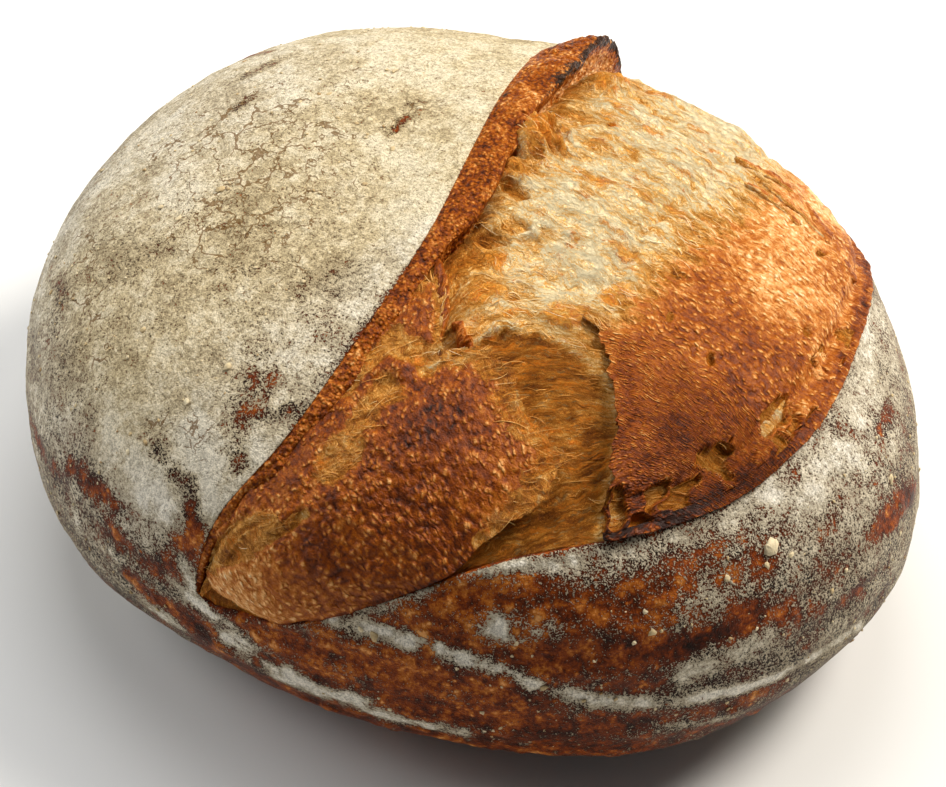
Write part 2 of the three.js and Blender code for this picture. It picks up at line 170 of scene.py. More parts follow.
def curve(points, share, closed=False):
    """A smooth line through points, at shares from 0 to 1."""
    points = np.asarray(points, float).reshape(len(points), -1)
    if closed:
        ring = np.vstack([points[-1:], points, points[:2]])
        spans = len(points)
    else:
        ring = np.vstack([2 * points[0] - points[1], points, 2 * points[-1] - points[-2]])
        spans = len(points) - 1
    place = np.asarray(share, float) * spans
    first = np.clip(np.floor(place).astype(int), 0, spans - 1)
    w = (place - first)[..., None]
    p0, p1, p2, p3 = (ring[first + n] for n in range(4))
    v0, v1 = (p2 - p0) / 2, (p3 - p1) / 2
    return (2 * p1 - 2 * p2 + v0 + v1) * w ** 3 + (3 * p2 - 3 * p1 - 2 * v0 - v1) * w ** 2 + v0 * w + p1


def nearest(points, line, block=20000):
    """Distance from each point to the nearest of a line's points, and which one it is."""
    distance, which = np.zeros(len(points)), np.zeros(len(points), int)
    squares = (line ** 2).sum(1)
    for a in range(0, len(points), block):
        part = points[a:a + block]
        far = (part ** 2).sum(1)[:, None] + squares - 2 * part @ line.T
        which[a:a + block] = far.argmin(1)
        distance[a:a + block] = np.sqrt(np.maximum(far.min(1), 0))
    return distance, which


# ---------- The plain form ----------

def half_of(direction):
    above = direction[..., 2] >= 0
    return np.where(above, HEIGHT - HEART_Z, HEART_Z + FOOT_SINK), np.where(above, CROWN_POWER, FOOT_POWER)


def plan_radius(azimuth):
    return GIRTH_RADIUS * (1 + OVAL * np.cos(2 * azimuth) + EGG * np.cos(3 * azimuth))


def plain_reach(direction):
    height, power = half_of(direction)
    level = np.hypot(direction[..., 0], direction[..., 1])
    radius = plan_radius(np.arctan2(direction[..., 1], direction[..., 0]))
    reach = ((level / radius) ** power + (np.abs(direction[..., 2]) / height) ** power) ** (-1 / power)
    for azimuth, rise, spread, lump in LUMPS:
        angle = np.arccos(np.clip(direction @ direction_of(azimuth, rise), -1, 1))
        reach = reach + lump * bell(angle, math.radians(spread))
    return reach


def plain_normal(direction):
    height, power = half_of(direction)
    level = np.maximum(np.hypot(direction[..., 0], direction[..., 1]), 1e-6)
    radius = plan_radius(np.arctan2(direction[..., 1], direction[..., 0]))
    outward = (level / radius) ** (power - 1) / radius / level
    upward = np.sign(direction[..., 2]) * (np.abs(direction[..., 2]) / height) ** (power - 1) / height
    return unit(np.stack([direction[..., 0] * outward, direction[..., 1] * outward, upward], -1))


def skin_point(direction, lift=0.0):
    lift = np.broadcast_to(lift, direction.shape[:-1])[..., None]
    return direction * plain_reach(direction)[..., None] + heart + plain_normal(direction) * lift


# ---------- The score ----------

def ear_direction(t):
    return unit(curve(STATIONS["ear"], t) - heart)


def lower_direction(t):
    return unit(curve(STATIONS["lower"], t) - heart)


def station_value(key, t):
    values = STATIONS[key]
    return np.interp(np.clip(t, 0, 1), np.linspace(0, 1, len(values)), values)


def across_score(s, t):
    start, end = ear_direction(t), lower_direction(t)
    angle = np.maximum(np.arccos(np.clip((start * end).sum(-1), -1, 1)), 1e-4)
    return unit(start * np.sin((1 - s) * angle)[..., None] + end * np.sin(s * angle)[..., None])


def score_width(t):
    return np.linalg.norm(skin_point(ear_direction(t)) - skin_point(lower_direction(t)), axis=-1)


def bed_lift(s, t, width):
    from_ear = s * width
    stretched_first = step(t, 0.44, 0.56) * (1 - step(s, 0.5, 0.62))
    lift = lerp(BED["late"], BED["early"], np.maximum(stretched_first, step(t, 0.84, 0.9)))
    lift = lift + FOLDS["height"] * noise(from_ear / FOLDS["length"], t * SCORE_LENGTH / FOLDS["width"], 5)
    drop = lerp(EAR_DROP["near"], EAR_DROP["far"], step(t, 0.3, 0.55))
    lift = lift - drop * bell(from_ear, EAR_DROP["reach"])
    tips = step(t, 0, 0.09) * step(1 - t, 0, 0.09)
    return np.where((s >= 0) & (s <= 1), lerp(BED["late"], lift, tips), np.minimum(BED["tuck"], lift - 1))


def skin_lift(skin, share, rim_lift, s, t):
    bumps = SKIN_BUMPS["height"] * noise(
        s * SCORE_SPAN / SKIN_BUMPS["length"], t * SCORE_LENGTH / SKIN_BUMPS["length"], 9)
    from_rim = (1 - s) * score_width(t)
    groove = RIM_GROOVE["depth"] * bell(from_rim - RIM_GROOVE["inset"], RIM_GROOVE["width"])
    groove = groove if skin is SHIELD else 0
    inner = lerp(np.minimum(rim_lift, 0.4), skin["mound"], (1 - share) ** 0.6) + bumps * (1 - share)
    return lerp(inner, rim_lift, step(share, 0.9, 1)) - groove


# ---------- Meshes ----------

def grid_faces(rows, columns, closed=False):
    """Four-sided faces of a grid of points stored row by row; closed joins the last column to the first."""
    across = columns if closed else columns - 1
    i, j = np.meshgrid(np.arange(rows - 1), np.arange(across), indexing="ij")
    k = (j + 1) % columns
    faces = np.stack([i * columns + j, i * columns + k, (i + 1) * columns + k, (i + 1) * columns + j], -1)
    return faces.reshape(-1, 4)


def fan(ring, hub, flip=False):
    ends = np.roll(ring, -1)
    return np.stack([np.full(len(ring), hub), ends if flip else ring, ring if flip else ends], -1)


def make_piece(name, points, faces, material, paint=None, replaces=False):
    """A closed mesh of the loaf from points in millimetres, with its painted numbers on the points."""
    mesh = bpy.data.meshes.new(name)
    listed = []
    for group in faces:
        listed += np.asarray(group).tolist()
    mesh.from_pydata((np.asarray(points) * MM).tolist(), [], listed)
    body = bmesh.new()
    body.from_mesh(mesh)
    bmesh.ops.recalc_face_normals(body, faces=body.faces)
    body.to_mesh(mesh)
    body.free()
    mesh.polygons.foreach_set("use_smooth", np.ones(len(mesh.polygons), bool))
    for key, values in (paint or {}).items():
        values = np.asarray(values, np.float32)
        kind = "FLOAT" if values.ndim == 1 else "FLOAT_VECTOR"
        layer = mesh.attributes.new(key, kind, "POINT")
        layer.data.foreach_set("value" if values.ndim == 1 else "vector", values.ravel())
    mesh.materials.append(material)
    mesh.update()
    piece = bpy.data.objects.new(name, mesh)
    bpy.context.scene.collection.objects.link(piece)
    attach(piece, "root")
    if replaces:
        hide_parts("loaf")
    return piece


# ---------- Materials ----------

def colour(hex_code):
    """A linear colour from an sRGB hex code."""
    parts = [int(hex_code[n:n + 2], 16) / 255 for n in (0, 2, 4)]
    return [p / 12.92 if p <= 0.04045 else ((p + 0.055) / 1.055) ** 2.4 for p in parts] + [1]


SMOOTH = {"interpolation_type": "SMOOTHSTEP"}  # a range held at both ends, with no corner between
MANY_STOPS = 7  # from here on a colour ramp is blended without corners
OF_COLOURS = {"out": 2, "data_type": "RGBA"}  # a mix of two colours, which go into sockets 6 and 7


def add(tree, kind, inputs=None, out=0, stops=(), **settings):
    """Adds a node, makes its settings and colour stops, fills or links its inputs, and gives one output."""
    made = tree.nodes.new("ShaderNode" + kind)
    for key, value in settings.items():
        setattr(made, key, value)
    if stops:
        band = made.color_ramp
        band.interpolation = "LINEAR" if len(stops) < MANY_STOPS else "B_SPLINE"
        while len(band.elements) < len(stops):
            band.elements.new(1)
        for element, (place, code) in zip(band.elements, stops):
            element.position = place
            element.color = colour(code)
    for key, value in (inputs or {}).items():
        if isinstance(value, bpy.types.NodeSocket):
            tree.links.new(value, made.inputs[key])
        else:
            made.inputs[key].default_value = value
    return made.outputs[out]


def start_material(name):
    material = bpy.data.materials.new(name)
    material.use_nodes = True
    tree = material.node_tree
    tree.nodes.clear()
    return material, tree


def sums(tree, *terms):
    """Adds up terms, each a socket, a number, or a (socket, factor) pair."""
    total = None
    for term in terms:
        if isinstance(term, tuple):
            term = add(tree, "Math", {0: term[0], 1: term[1]}, operation="MULTIPLY")
        total = term if total is None else add(tree, "Math", {0: total, 1: term}, operation="ADD")
    return total


def grain(tree, place, size, detail=2.0, roughness=0.55, stretch=None):
    """Noise around 0, about -0.5 to 0.5, with features of that many millimetres."""
    if stretch:
        place = add(tree, "VectorMath", {0: place, 1: stretch}, operation="MULTIPLY")
    settings = {"Vector": place, "Scale": 1 / size, "Detail": detail, "Roughness": roughness}
    return add(tree, "Math", {0: add(tree, "TexNoise", settings), 1: 0.5}, operation="SUBTRACT")


def drawn_out(along, across):
    """Scales a pattern to features of that length and width in millimetres, along and across the pull."""
    return 1 / along, 1 / across, 1


def finish_material(tree, base, roughness, height, relief_mm, shine=0.3):
    """The surface: its colour, roughness, fine relief and shine."""
    bump = add(tree, "Bump", {"Height": height, "Distance": relief_mm * MM})
    surface = {"Base Color": base, "Roughness": roughness, "Normal": bump, "Specular IOR Level": shine}
    shader = add(tree, "BsdfPrincipled", surface)
    tree.links.new(shader, tree.nodes.new("ShaderNodeOutputMaterial").inputs["Surface"])


def millimetres(tree):
    """Place on the loaf in millimetres."""
    place = add(tree, "TexCoord", out=3)
    return add(tree, "VectorMath", {0: place, 1: (1000, 1000, 1000)}, operation="MULTIPLY")


BLISTER = 3.8  # blisters of the bare crust, from one to the next
CRACK_CELL = 10  # crazed flour: level distance between cracks
CRACK_HALF_WIDTH = 0.52  # half of a crack's width, at most
EAR_BEAD = 1.2  # grains of the ear's cut face, from one to the next
SKIN_TONES = [  # from the palest burst skin to char
    (0.0, "fad8a6"), (0.15, "f0bf84"), (0.3, "da9852"), (0.45, "b06214"), (0.6, "8f4504"), (0.75, "6e2e03"),
    (0.9, "461b04"), (1.0, "1c0d06"),
]
WHITE_FLOUR_TONES = [(0, "a89b84"), (0.5, "cabfa8"), (1, "ece5d6")]
CREAM_FLOUR_TONES = [(0, "9a8865"), (0.5, "c8b690"), (1, "dfd2b4")]
BARE_CRUST_TONES = [
    (0.0, "dfa05c"), (0.2, "b3661e"), (0.4, "843906"), (0.6, "562002"), (0.8, "301002"), (1, "130702"),
]
CRACK_TONE = "6b4a20"
ASH_TONES = [(0.2, "190d07"), (0.65, "3c271b"), (1, "75604f")]
CLUMP_TONES = [(0, "dccdaa"), (0.5, "c6b085"), (1, "946f42")]
# paler tones mixed onto the crests of bumps and grains: a painted highlight
BEAD_HIGHLIGHT_TONES = [(0.0, "ffebc6"), (0.3, "f0b874"), (0.55, "c47a30"), (0.75, "904a12"), (1.0, "562808")]
# olive tones painted in the pockets of the valley: painted shade
POCKET_SHADE_TONES = [(0.2, "c9b183"), (0.5, "8d7442"), (0.9, "4a3818")]
TOAST_TONES = [(0.0, "ffd07c"), (0.3, "f2a23a"), (0.6, "d6720f"), (1, "944406")]
CRUMB_TONES = [  # from white crumb to toasted crumb
    (0.0, "fff0c6"), (0.12, "fed68e"), (0.24, "f2b45c"), (0.36, "da9034"), (0.5, "b06716"), (0.66, "824404"),
    (0.82, "582902"), (1.0, "2e1504"),
]


def floured_crust():
    """Hearth crust: chestnut blisters where bare, under a stipple of flour that closes up where thick."""
    material, tree = start_material("floured_hearth_crust")
    place = millimetres(tree)
    flour, bake, crack, cream = (add(tree, "Attribute", out="Fac", attribute_name=key)
                                 for key in ("flour", "bake", "crack", "cream"))
    # Flour is finer than 0.2 mm. It is drawn as dust of 0.4 mm and specks of 0.85 mm, coarse enough to show.
    dust = grain(tree, place, 0.4, 1, 0.5)
    speck = grain(tree, place, 0.85, 3, 0.75)
    crumbs = grain(tree, place, 2.2, 3, 0.65)
    patches = grain(tree, place, 6.5, 3, 0.65)
    drifts = grain(tree, place, 24, 2, 0.55)
    loose = sums(tree, flour, (speck, 2.5), (dust, 1.7), (crumbs, 0.7), (patches, 0.5))
    cover = add(tree, "MapRange", {0: loose, 1: 0.42, 2: 0.58}, **SMOOTH)
    thick = sums(tree, (flour, 0.75), (patches, 0.9), (drifts, 0.8), (crumbs, 0.6), (speck, 0.7))
    thick = add(tree, "MapRange", {0: thick, 1: 0.3, 2: 1.15}, **SMOOTH)
    white = add(tree, "ValToRGB", {0: thick}, stops=WHITE_FLOUR_TONES)
    toasted = add(tree, "ValToRGB", {0: thick}, stops=CREAM_FLOUR_TONES)
    flour_colour = add(tree, "Mix", {0: cream, 6: white, 7: toasted}, **OF_COLOURS)
    # Painted shade and highlight on the flour's grains: the flour colour is multiplied by 0.5 to 1.14 with
    # the specks, dust and crumbs.
    grain_shade_and_highlight = sums(tree, (speck, 1.2), (dust, 0.9), (crumbs, 0.6))
    grain_shade_and_highlight = add(tree, "MapRange", {0: grain_shade_and_highlight, 1: -0.4, 2: 0.36, 3: 0.5, 4: 1.14}, **SMOOTH)
    grey = add(tree, "CombineColor", {0: grain_shade_and_highlight, 1: grain_shade_and_highlight, 2: grain_shade_and_highlight})
    flour_colour = add(tree, "Mix", {0: 1.0, 6: flour_colour, 7: grey}, **OF_COLOURS, blend_type="MULTIPLY")
    # Bare crust: dark chestnut with tan and orange blisters.
    blister = add(tree, "TexVoronoi", {"Vector": place, "Scale": 1 / BLISTER, "Detail": 1.0}, feature="F1")
    blister = add(tree, "MapRange", {0: blister, 1: 0.12, 2: 0.5, 3: 1.0, 4: 0.0}, **SMOOTH)
    tone = sums(tree, bake, 0.08, (patches, 1.5), (crumbs, 1.0), (speck, 0.7), (blister, -0.36),
                (add(tree, "MapRange", {0: flour, 1: 0.2, 2: 0.6}, **SMOOTH), 0.26))
    crust_colour = add(tree, "ValToRGB", {0: tone}, stops=BARE_CRUST_TONES)
    # Fine cracks in the flour, brown at the bottom.
    bend = add(tree, "TexNoise", {"Vector": place, "Scale": 0.25, "Detail": 2}, out=1)
    bend = add(tree, "VectorMath", {0: bend, 1: (8, 8, 8)}, operation="MULTIPLY")
    bent = add(tree, "VectorMath", {0: place, 1: bend}, operation="ADD")
    bent = add(tree, "VectorMath", {0: bent, 1: (1, 1, 2.2)}, operation="MULTIPLY")
    cell = add(tree, "TexVoronoi", {"Vector": bent, "Scale": 1 / CRACK_CELL}, feature="DISTANCE_TO_EDGE")
    width = sums(tree, crack, (patches, 1.5))
    widest = CRACK_HALF_WIDTH / CRACK_CELL
    width = add(tree, "MapRange", {0: width, 1: 0.2, 2: 0.75, 3: 0.0, 4: widest}, **SMOOTH)
    split = add(tree, "Math", {0: cell, 1: width}, operation="LESS_THAN")
    seen = add(tree, "Math", {0: split, 1: 0.75}, operation="MULTIPLY")
    flour_colour = add(tree, "Mix", {0: seen, 6: flour_colour, 7: colour(CRACK_TONE)}, **OF_COLOURS)
    base = add(tree, "Mix", {0: cover, 6: crust_colour, 7: flour_colour}, **OF_COLOURS)
    roughness = add(tree, "MapRange", {0: cover, 3: 0.4, 4: 0.95})
    height = sums(tree, (cover, 0.45), (speck, 1.2), (dust, 0.6), (crumbs, 1.3), (blister, 0.6),
                  (split, -1.2))
    finish_material(tree, base, roughness, height, 0.36, shine=0.1)
    return material


def burst_crumb():
    """Crumb torn open in the oven: pale threads over deeper amber, toasted orange where it stands up."""
    material, tree = start_material("torn_open_crumb")
    place = millimetres(tree)
    chart = add(tree, "Attribute", out="Vector", attribute_name="chart")
    bake = add(tree, "Attribute", out="Fac", attribute_name="bake")
    base, height, _ = web_of_crumb(tree, place, chart, bake)
    finish_material(tree, base, 0.55, height, 0.5, shine=0.12)
    return material


def web_of_crumb(tree, place, chart, bake):
    """Colour, height and tufts of stretched crumb: pale lace, amber pores, golden streaks that stand up, and
    olive painted shade in the pockets of the valley.
    """
    bend = add(tree, "TexNoise", {"Vector": place, "Scale": 0.28, "Detail": 2}, out=1)
    bend = add(tree, "VectorMath", {0: bend, 1: (5, 5, 0)}, operation="MULTIPLY")
    bent = add(tree, "VectorMath", {0: chart, 1: bend}, operation="ADD")
    threads = grain(tree, bent, 1, 3, 0.68, stretch=drawn_out(4.5, 0.9))
    folds = grain(tree, bent, 1, 3, 0.6, stretch=drawn_out(9, 3))
    spread = add(tree, "VectorMath", {0: bent, 1: drawn_out(4.4, 1.7)}, operation="MULTIPLY")
    walls = add(tree, "TexVoronoi", {"Vector": spread}, feature="DISTANCE_TO_EDGE")
    lace = add(tree, "MapRange", {0: walls, 1: 0.01, 2: 0.1, 3: 1.0, 4: 0.0}, **SMOOTH)
    spread = add(tree, "VectorMath", {0: bent, 1: drawn_out(1.9, 0.8)}, operation="MULTIPLY")
    walls = add(tree, "TexVoronoi", {"Vector": spread}, feature="DISTANCE_TO_EDGE")
    mesh = add(tree, "MapRange", {0: walls, 1: 0.02, 2: 0.16, 3: 1.0, 4: 0.0}, **SMOOTH)
    tufts = grain(tree, bent, 1, 3, 0.65, stretch=drawn_out(8, 3))
    fine = grain(tree, place, 0.5, 2, 0.6)
    blots = grain(tree, place, 7, 3, 0.6)
    valley_mask = add(tree, "Attribute", out="Fac", attribute_name="valley_mask")
    clear = add(tree, "MapRange", {0: valley_mask, 1: 0, 2: 1, 3: 1.0, 4: 0.55}, **SMOOTH)
    threads = add(tree, "Math", {0: threads, 1: clear}, operation="MULTIPLY")
    tone = sums(tree, bake, 0.1, (threads, -0.85), (folds, -0.7), (lace, -0.12), (mesh, -0.1), (fine, 0.3),
                (blots, 0.4))
    base = add(tree, "ValToRGB", {0: tone}, stops=CRUMB_TONES)
    # Painted shade: olive pockets in the valley, darkest at the middles of cells about 13 by 8 mm.
    spread = add(tree, "VectorMath", {0: bent, 1: drawn_out(13, 8)}, operation="MULTIPLY")
    hollow = add(tree, "TexVoronoi", {"Vector": spread}, feature="F1")
    hollow = add(tree, "MapRange", {0: hollow, 1: 0.1, 2: 0.42, 3: 0.6, 4: 0.0}, **SMOOTH)
    hollow = add(tree, "Math", {0: hollow, 1: valley_mask}, operation="MULTIPLY")
    painted_pocket_shade = add(tree, "ValToRGB", {0: tone}, stops=POCKET_SHADE_TONES)
    base = add(tree, "Mix", {0: hollow, 6: base, 7: painted_pocket_shade}, **OF_COLOURS)
    gold = grain(tree, bent, 1, 3, 0.6, stretch=drawn_out(12, 4.5))
    golden = add(tree, "Attribute", out="Fac", attribute_name="gold")
    toasted = sums(tree, (tufts, 0.6), gold, (fine, 0.4), (threads, 0.5), (bake, 0.3), golden)
    toasted = add(tree, "MapRange", {0: toasted, 1: 0.12, 2: 0.34}, **SMOOTH)
    toast_tone = sums(tree, 0.3, (threads, 1.6), (fine, 0.5), (bake, 0.4))
    toast_colour = add(tree, "ValToRGB", {0: toast_tone}, stops=TOAST_TONES)
    seen = add(tree, "Math", {0: toasted, 1: 0.85}, operation="MULTIPLY")
    base = add(tree, "Mix", {0: seen, 6: base, 7: toast_colour}, **OF_COLOURS)
    height = sums(tree, (threads, 1.7), (folds, 2.4), (lace, 0.4), (mesh, 0.25), (fine, 0.5), (toasted, 0.3))
    return base, height, tufts


def browned_skin():
    """Burst skin baked hard: packed glossy bumps with a painted highlight on top and painted shade between,
    and pale windows.
    """
    material, tree = start_material("browned_burst_skin")
    place = millimetres(tree)
    chart = add(tree, "Attribute", out="Vector", attribute_name="chart")
    bake, opened = (add(tree, "Attribute", out="Fac", attribute_name=key) for key in ("bake", "opened"))
    bend = add(tree, "TexNoise", {"Vector": place, "Scale": 0.5, "Detail": 2}, out=1)
    bend = add(tree, "VectorMath", {0: bend, 1: (1.5, 1.5, 0)}, operation="MULTIPLY")
    bent = add(tree, "VectorMath", {0: chart, 1: bend}, operation="ADD")
    spread = add(tree, "VectorMath", {0: bent, 1: drawn_out(1.9, 1.15)}, operation="MULTIPLY")
    beads = add(tree, "TexVoronoi", {"Vector": spread, "Scale": 1.0}, feature="F1")
    beads = add(tree, "MapRange", {0: beads, 1: 0.08, 2: 0.62, 3: 1.0, 4: 0.0}, **SMOOTH)
    wrinkles = grain(tree, bent, 1, 3, 0.62, stretch=drawn_out(3.4, 1.2))
    fine = grain(tree, place, 0.5, 2, 0.6)
    blots = grain(tree, place, 5, 3, 0.62)
    # The bumps' middles are painted lighter and the gaps between them darker: painted highlight and shade.
    tone = sums(tree, bake, 0.14, (beads, -0.18), (wrinkles, 0.7), (fine, 0.35), (blots, 0.34))
    base = add(tree, "ValToRGB", {0: tone}, stops=SKIN_TONES)
    # Painted highlight: the crests of the bumps are mixed towards paler tones.
    crest = sums(tree, beads, (wrinkles, -1.2), (fine, 0.6))
    crest = add(tree, "MapRange", {0: crest, 1: 0.5, 2: 1.0, 3: 0.0, 4: 0.6}, **SMOOTH)
    bead_highlight = add(tree, "ValToRGB", {0: tone}, stops=BEAD_HIGHLIGHT_TONES)
    base = add(tree, "Mix", {0: crest, 6: base, 7: bead_highlight}, **OF_COLOURS)
    inside, webbed, tufts = web_of_crumb(tree, place, chart, bake)
    shows = sums(tree, opened, (tufts, -1.6), (wrinkles, 0.9))
    shows = add(tree, "MapRange", {0: shows, 1: 0.35, 2: 0.65}, **SMOOTH)
    base = add(tree, "Mix", {0: shows, 6: base, 7: inside}, **OF_COLOURS)
    height = sums(tree, (beads, 0.9), (wrinkles, -1.3), (fine, 0.5))
    height = add(tree, "Mix", {0: shows, 2: height, 3: webbed}, data_type="FLOAT")
    roughness = add(tree, "MapRange", {0: fine, 1: -0.2, 2: 0.2, 3: 0.3, 4: 0.6})
    finish_material(tree, base, roughness, height, 0.42, shine=0.16)
    return material


def charred_ear():
    """The ear's cut face: granular chestnut with a painted highlight on the grains and painted shade between
    them, turning to grey-black char along the lip.
    """
    material, tree = start_material("charred_ear_crust")
    place = millimetres(tree)
    bake, char = (add(tree, "Attribute", out="Fac", attribute_name=key) for key in ("bake", "char"))
    beads = add(tree, "TexVoronoi", {"Vector": place, "Scale": 1 / EAR_BEAD}, feature="F1")
    beads = add(tree, "MapRange", {0: beads, 1: 0.1, 2: 0.7, 3: 1.0, 4: 0.0}, **SMOOTH)
    crumbs = grain(tree, place, 1.0, 3, 0.65)
    patches = grain(tree, place, 5, 3, 0.6)
    # Painted highlight and shade: the grains' middles and crests are painted paler, the gaps between them
    # darker.
    tone = sums(tree, bake, 0.02, (beads, -0.12), (crumbs, 1.1), (patches, 0.8))
    crest = add(tree, "MapRange", {0: sums(tree, beads, crumbs), 1: 0.5, 2: 1.1, 3: 0.0, 4: 0.5}, **SMOOTH)
    between_beads = add(tree, "ValToRGB", {0: tone}, stops=SKIN_TONES)
    bead_highlight = add(tree, "ValToRGB", {0: tone}, stops=BEAD_HIGHLIGHT_TONES)
    base = add(tree, "Mix", {0: crest, 6: between_beads, 7: bead_highlight}, **OF_COLOURS)
    burnt = sums(tree, char, (patches, 1.7), (crumbs, 1.2))
    burnt = add(tree, "MapRange", {0: burnt, 1: 0.4, 2: 0.68}, **SMOOTH)
    ash = add(tree, "ValToRGB", {0: sums(tree, 0.45, crumbs, (beads, 0.2))}, stops=ASH_TONES)
    base = add(tree, "Mix", {0: burnt, 6: base, 7: ash}, **OF_COLOURS)
    height = sums(tree, (beads, 0.8), (crumbs, 1.2))
    finish_material(tree, base, 0.42, height, 0.5, shine=0.12)
    return material


def threads_of_crumb():
    """Single threads of stretched crumb, straw to gold, with a soft shine."""
    material, tree = start_material("stretched_crumb_threads")
    place = millimetres(tree)
    bake = add(tree, "Attribute", out="Fac", attribute_name="bake")
    tone = sums(tree, bake, (grain(tree, place, 2.2, 2, 0.6), 0.3))
    base = add(tree, "ValToRGB", {0: tone}, stops=CRUMB_TONES)
    finish_material(tree, base, 0.45, grain(tree, place, 0.5), 0.1, shine=0.2)
    return material


def caked_flour():
    """Clumps of dough and flour dried on the crust."""
    material, tree = start_material("caked_flour")
    place = millimetres(tree)
    crumbs = grain(tree, place, 0.6, 3, 0.6)
    bake = add(tree, "Attribute", out="Fac", attribute_name="bake")
    base = add(tree, "ValToRGB", {0: sums(tree, bake, (crumbs, 0.6))}, stops=CLUMP_TONES)
    finish_material(tree, base, 0.95, crumbs, 0.25)
    return material


# ---------- The crust ----------

FLANK_FLOUR = [  # azimuth and how much flour the flank holds there
    (0, 0.6), (12, 0.6), (30, 0.75), (60, 0.72), (100, 0.62), (150, 0.7), (205, 0.78), (226, 0.72),
    (240, 0.66), (256, 0.6), (266, 0.38), (276, 0.05), (300, 0.0), (316, 0.02), (326, 0.2), (338, 0.34),
    (348, 0.5), (360, 0.6),
]
STROKES = [  # flour laid on (+) or missing (-): what it is, amount, half width, (azimuth, rise) along it
    ("lower edge, by the near end", 1.0, 3.2, [(290, 12), (295, 15), (300, 17.5)]),
    ("lower edge, front", 0.75, 2.2, [(300, 18.5), (309, 20), (320, 20)]),
    ("lower edge, front right", 0.45, 3.4, [(318, 20), (335, 20), (350, 20)]),
    ("right shoulder", 0.4, 9, [(352, 17), (8, 17), (24, 16)]),
    ("front flank patch", 0.95, 4, [(309, 12), (315, 12)]),
    ("first ring, start", 1.05, 2.6, [(287, 9), (294, 9), (301, 8)]),
    ("first ring, middle", 0.95, 2.6, [(301, 8), (308, 6.5), (314, 4), (321, 1.5), (327, 0)]),
    ("first ring, end", 0.7, 1.6, [(327, 0), (333, -0.6), (338, -1.2)]),
    ("second ring", 1.1, 1.8, [(338, -1.6), (346, -2.6), (357, -3.8)]),
    ("third ring", 0.65, 1.4, [(329, -4.4), (334, -5.6), (339, -7)]),
    ("right flank patch", 0.65, 4, [(332, 4), (341, 4.5)]),
    ("right flank patch above", 0.35, 5, [(331, 10), (338, 14)]),
    ("brown, right flank", -0.5, 3.6, [(2, 8), (8, 6), (13, 4)]),
    ("brown, right shoulder", -0.5, 2.8, [(12, 14), (17, 13)]),
    ("brown, far right", -0.4, 3, [(345, 6), (352, 4), (359, 3)]),
    ("brown, front right", -0.5, 4.6, [(326, 8), (334, 8), (340, 9)]),
    ("base, front left", 1.15, 5, [(270, -3), (275, -4), (279, -6)]),
    ("base, front", 1.05, 4, [(281, -6), (286, -7), (291, -5)]),
    ("base, front middle", 1.0, 3.2, [(292, -8), (299, -8), (305, -8)]),
    ("base, front right", 0.45, 1.8, [(309, -9), (313, -9)]),
    ("base, left", 0.7, 3, [(256, -7), (261, -7)]),
    ("thin line round the near end", 0.95, 1.6, [(261, 3), (265, 1), (271, 0.5)]),
    ("white beside the near end", 0.7, 2.4, [(263, 8), (265, 3)]),
    ("spots by the ear edge", -0.62, 5.0, [(262, 31), (265, 32), (268, 33)]),
    ("spots by the ear edge, above", -0.5, 6.5, [(257, 35), (262, 35)]),
    ("spots by the ear edge, below", -0.55, 5.0, [(263, 27), (266, 24)]),
    ("left window", -0.8, 4.4, [(262, 16), (264, 13), (263, 10)]),
    ("left spots", -0.5, 4.0, [(250, 20), (253, 19)]),
    ("left spots, nearer", -0.55, 3.4, [(257, 18), (260, 19)]),
    ("streaks, left", -0.6, 3, [(226, 2), (232, 3), (239, 5)]),
    ("streaks, left above", -0.5, 3, [(240, 7), (246, 8), (251, 8)]),
    ("streaks, left below", -0.55, 5, [(250, 4), (257, 4), (262, 6)]),
    ("streaks, base left", -0.45, 4, [(254, -2), (262, -4), (268, -6)]),
    ("tan streak on the shoulder", -0.6, 2, [(213, 16), (218, 17)]),
    ("left shoulder", 0.5, 8, [(245, 17), (253, 14), (259, 13)]),
    ("left shoulder by the edge", 0.4, 5, [(256, 24), (262, 21), (265, 18)]),
    ("ring round a spot", 0.3, 3, [(265, 29), (268, 27)]),
    ("bare spot by the ear", -0.95, 2.6, [(145, 56), (146, 55)]),
    ("tan fleck on the shoulder", -0.8, 2.2, [(163, 29), (170, 28)]),
    ("tan fleck behind", -0.85, 2, [(160, 23), (161, 19)]),
    ("tan fleck", -0.75, 1.8, [(175, 34), (179, 34)]),
    ("tan fleck above", -0.7, 2, [(153, 58), (160, 60)]),
    ("grey dust on the dome", -0.22, 26, [(215, 30), (238, 38), (255, 50)]),
]
CRACKS = [  # where the floured skin has crazed: amount, half width, places
    (0.42, 14, [(185, 38), (200, 43), (215, 40)]), (0.3, 14, [(182, 33), (192, 30)]),
    (0.4, 9, [(206, 22), (216, 21), (232, 21)]), (0.42, 5, [(249, 22), (258, 24)]),
    (0.3, 12, [(186, 54), (205, 56)]), (0.25, 16, [(225, 45), (240, 52)]), (0.22, 20, [(150, 50), (170, 45)]),
]
RING_PITCH = 12  # height from one ring of the proofing basket to the next
CRUST_RINGS = 176
OUTLINE_POINTS = 520


def stroke(points, places, width):
    """1 on a brushed line of (azimuth, rise) places, fading to 0 beyond its half width."""
    places = np.array(places, float)
    places[:, 0] = np.degrees(np.unwrap(np.radians(places[:, 0])))
    bent = curve(places, np.linspace(0, 1, 6 * len(places)))
    line = skin_point(direction_of(bent[:, 0], bent[:, 1]))
    return bell(nearest(points, line)[0], width)


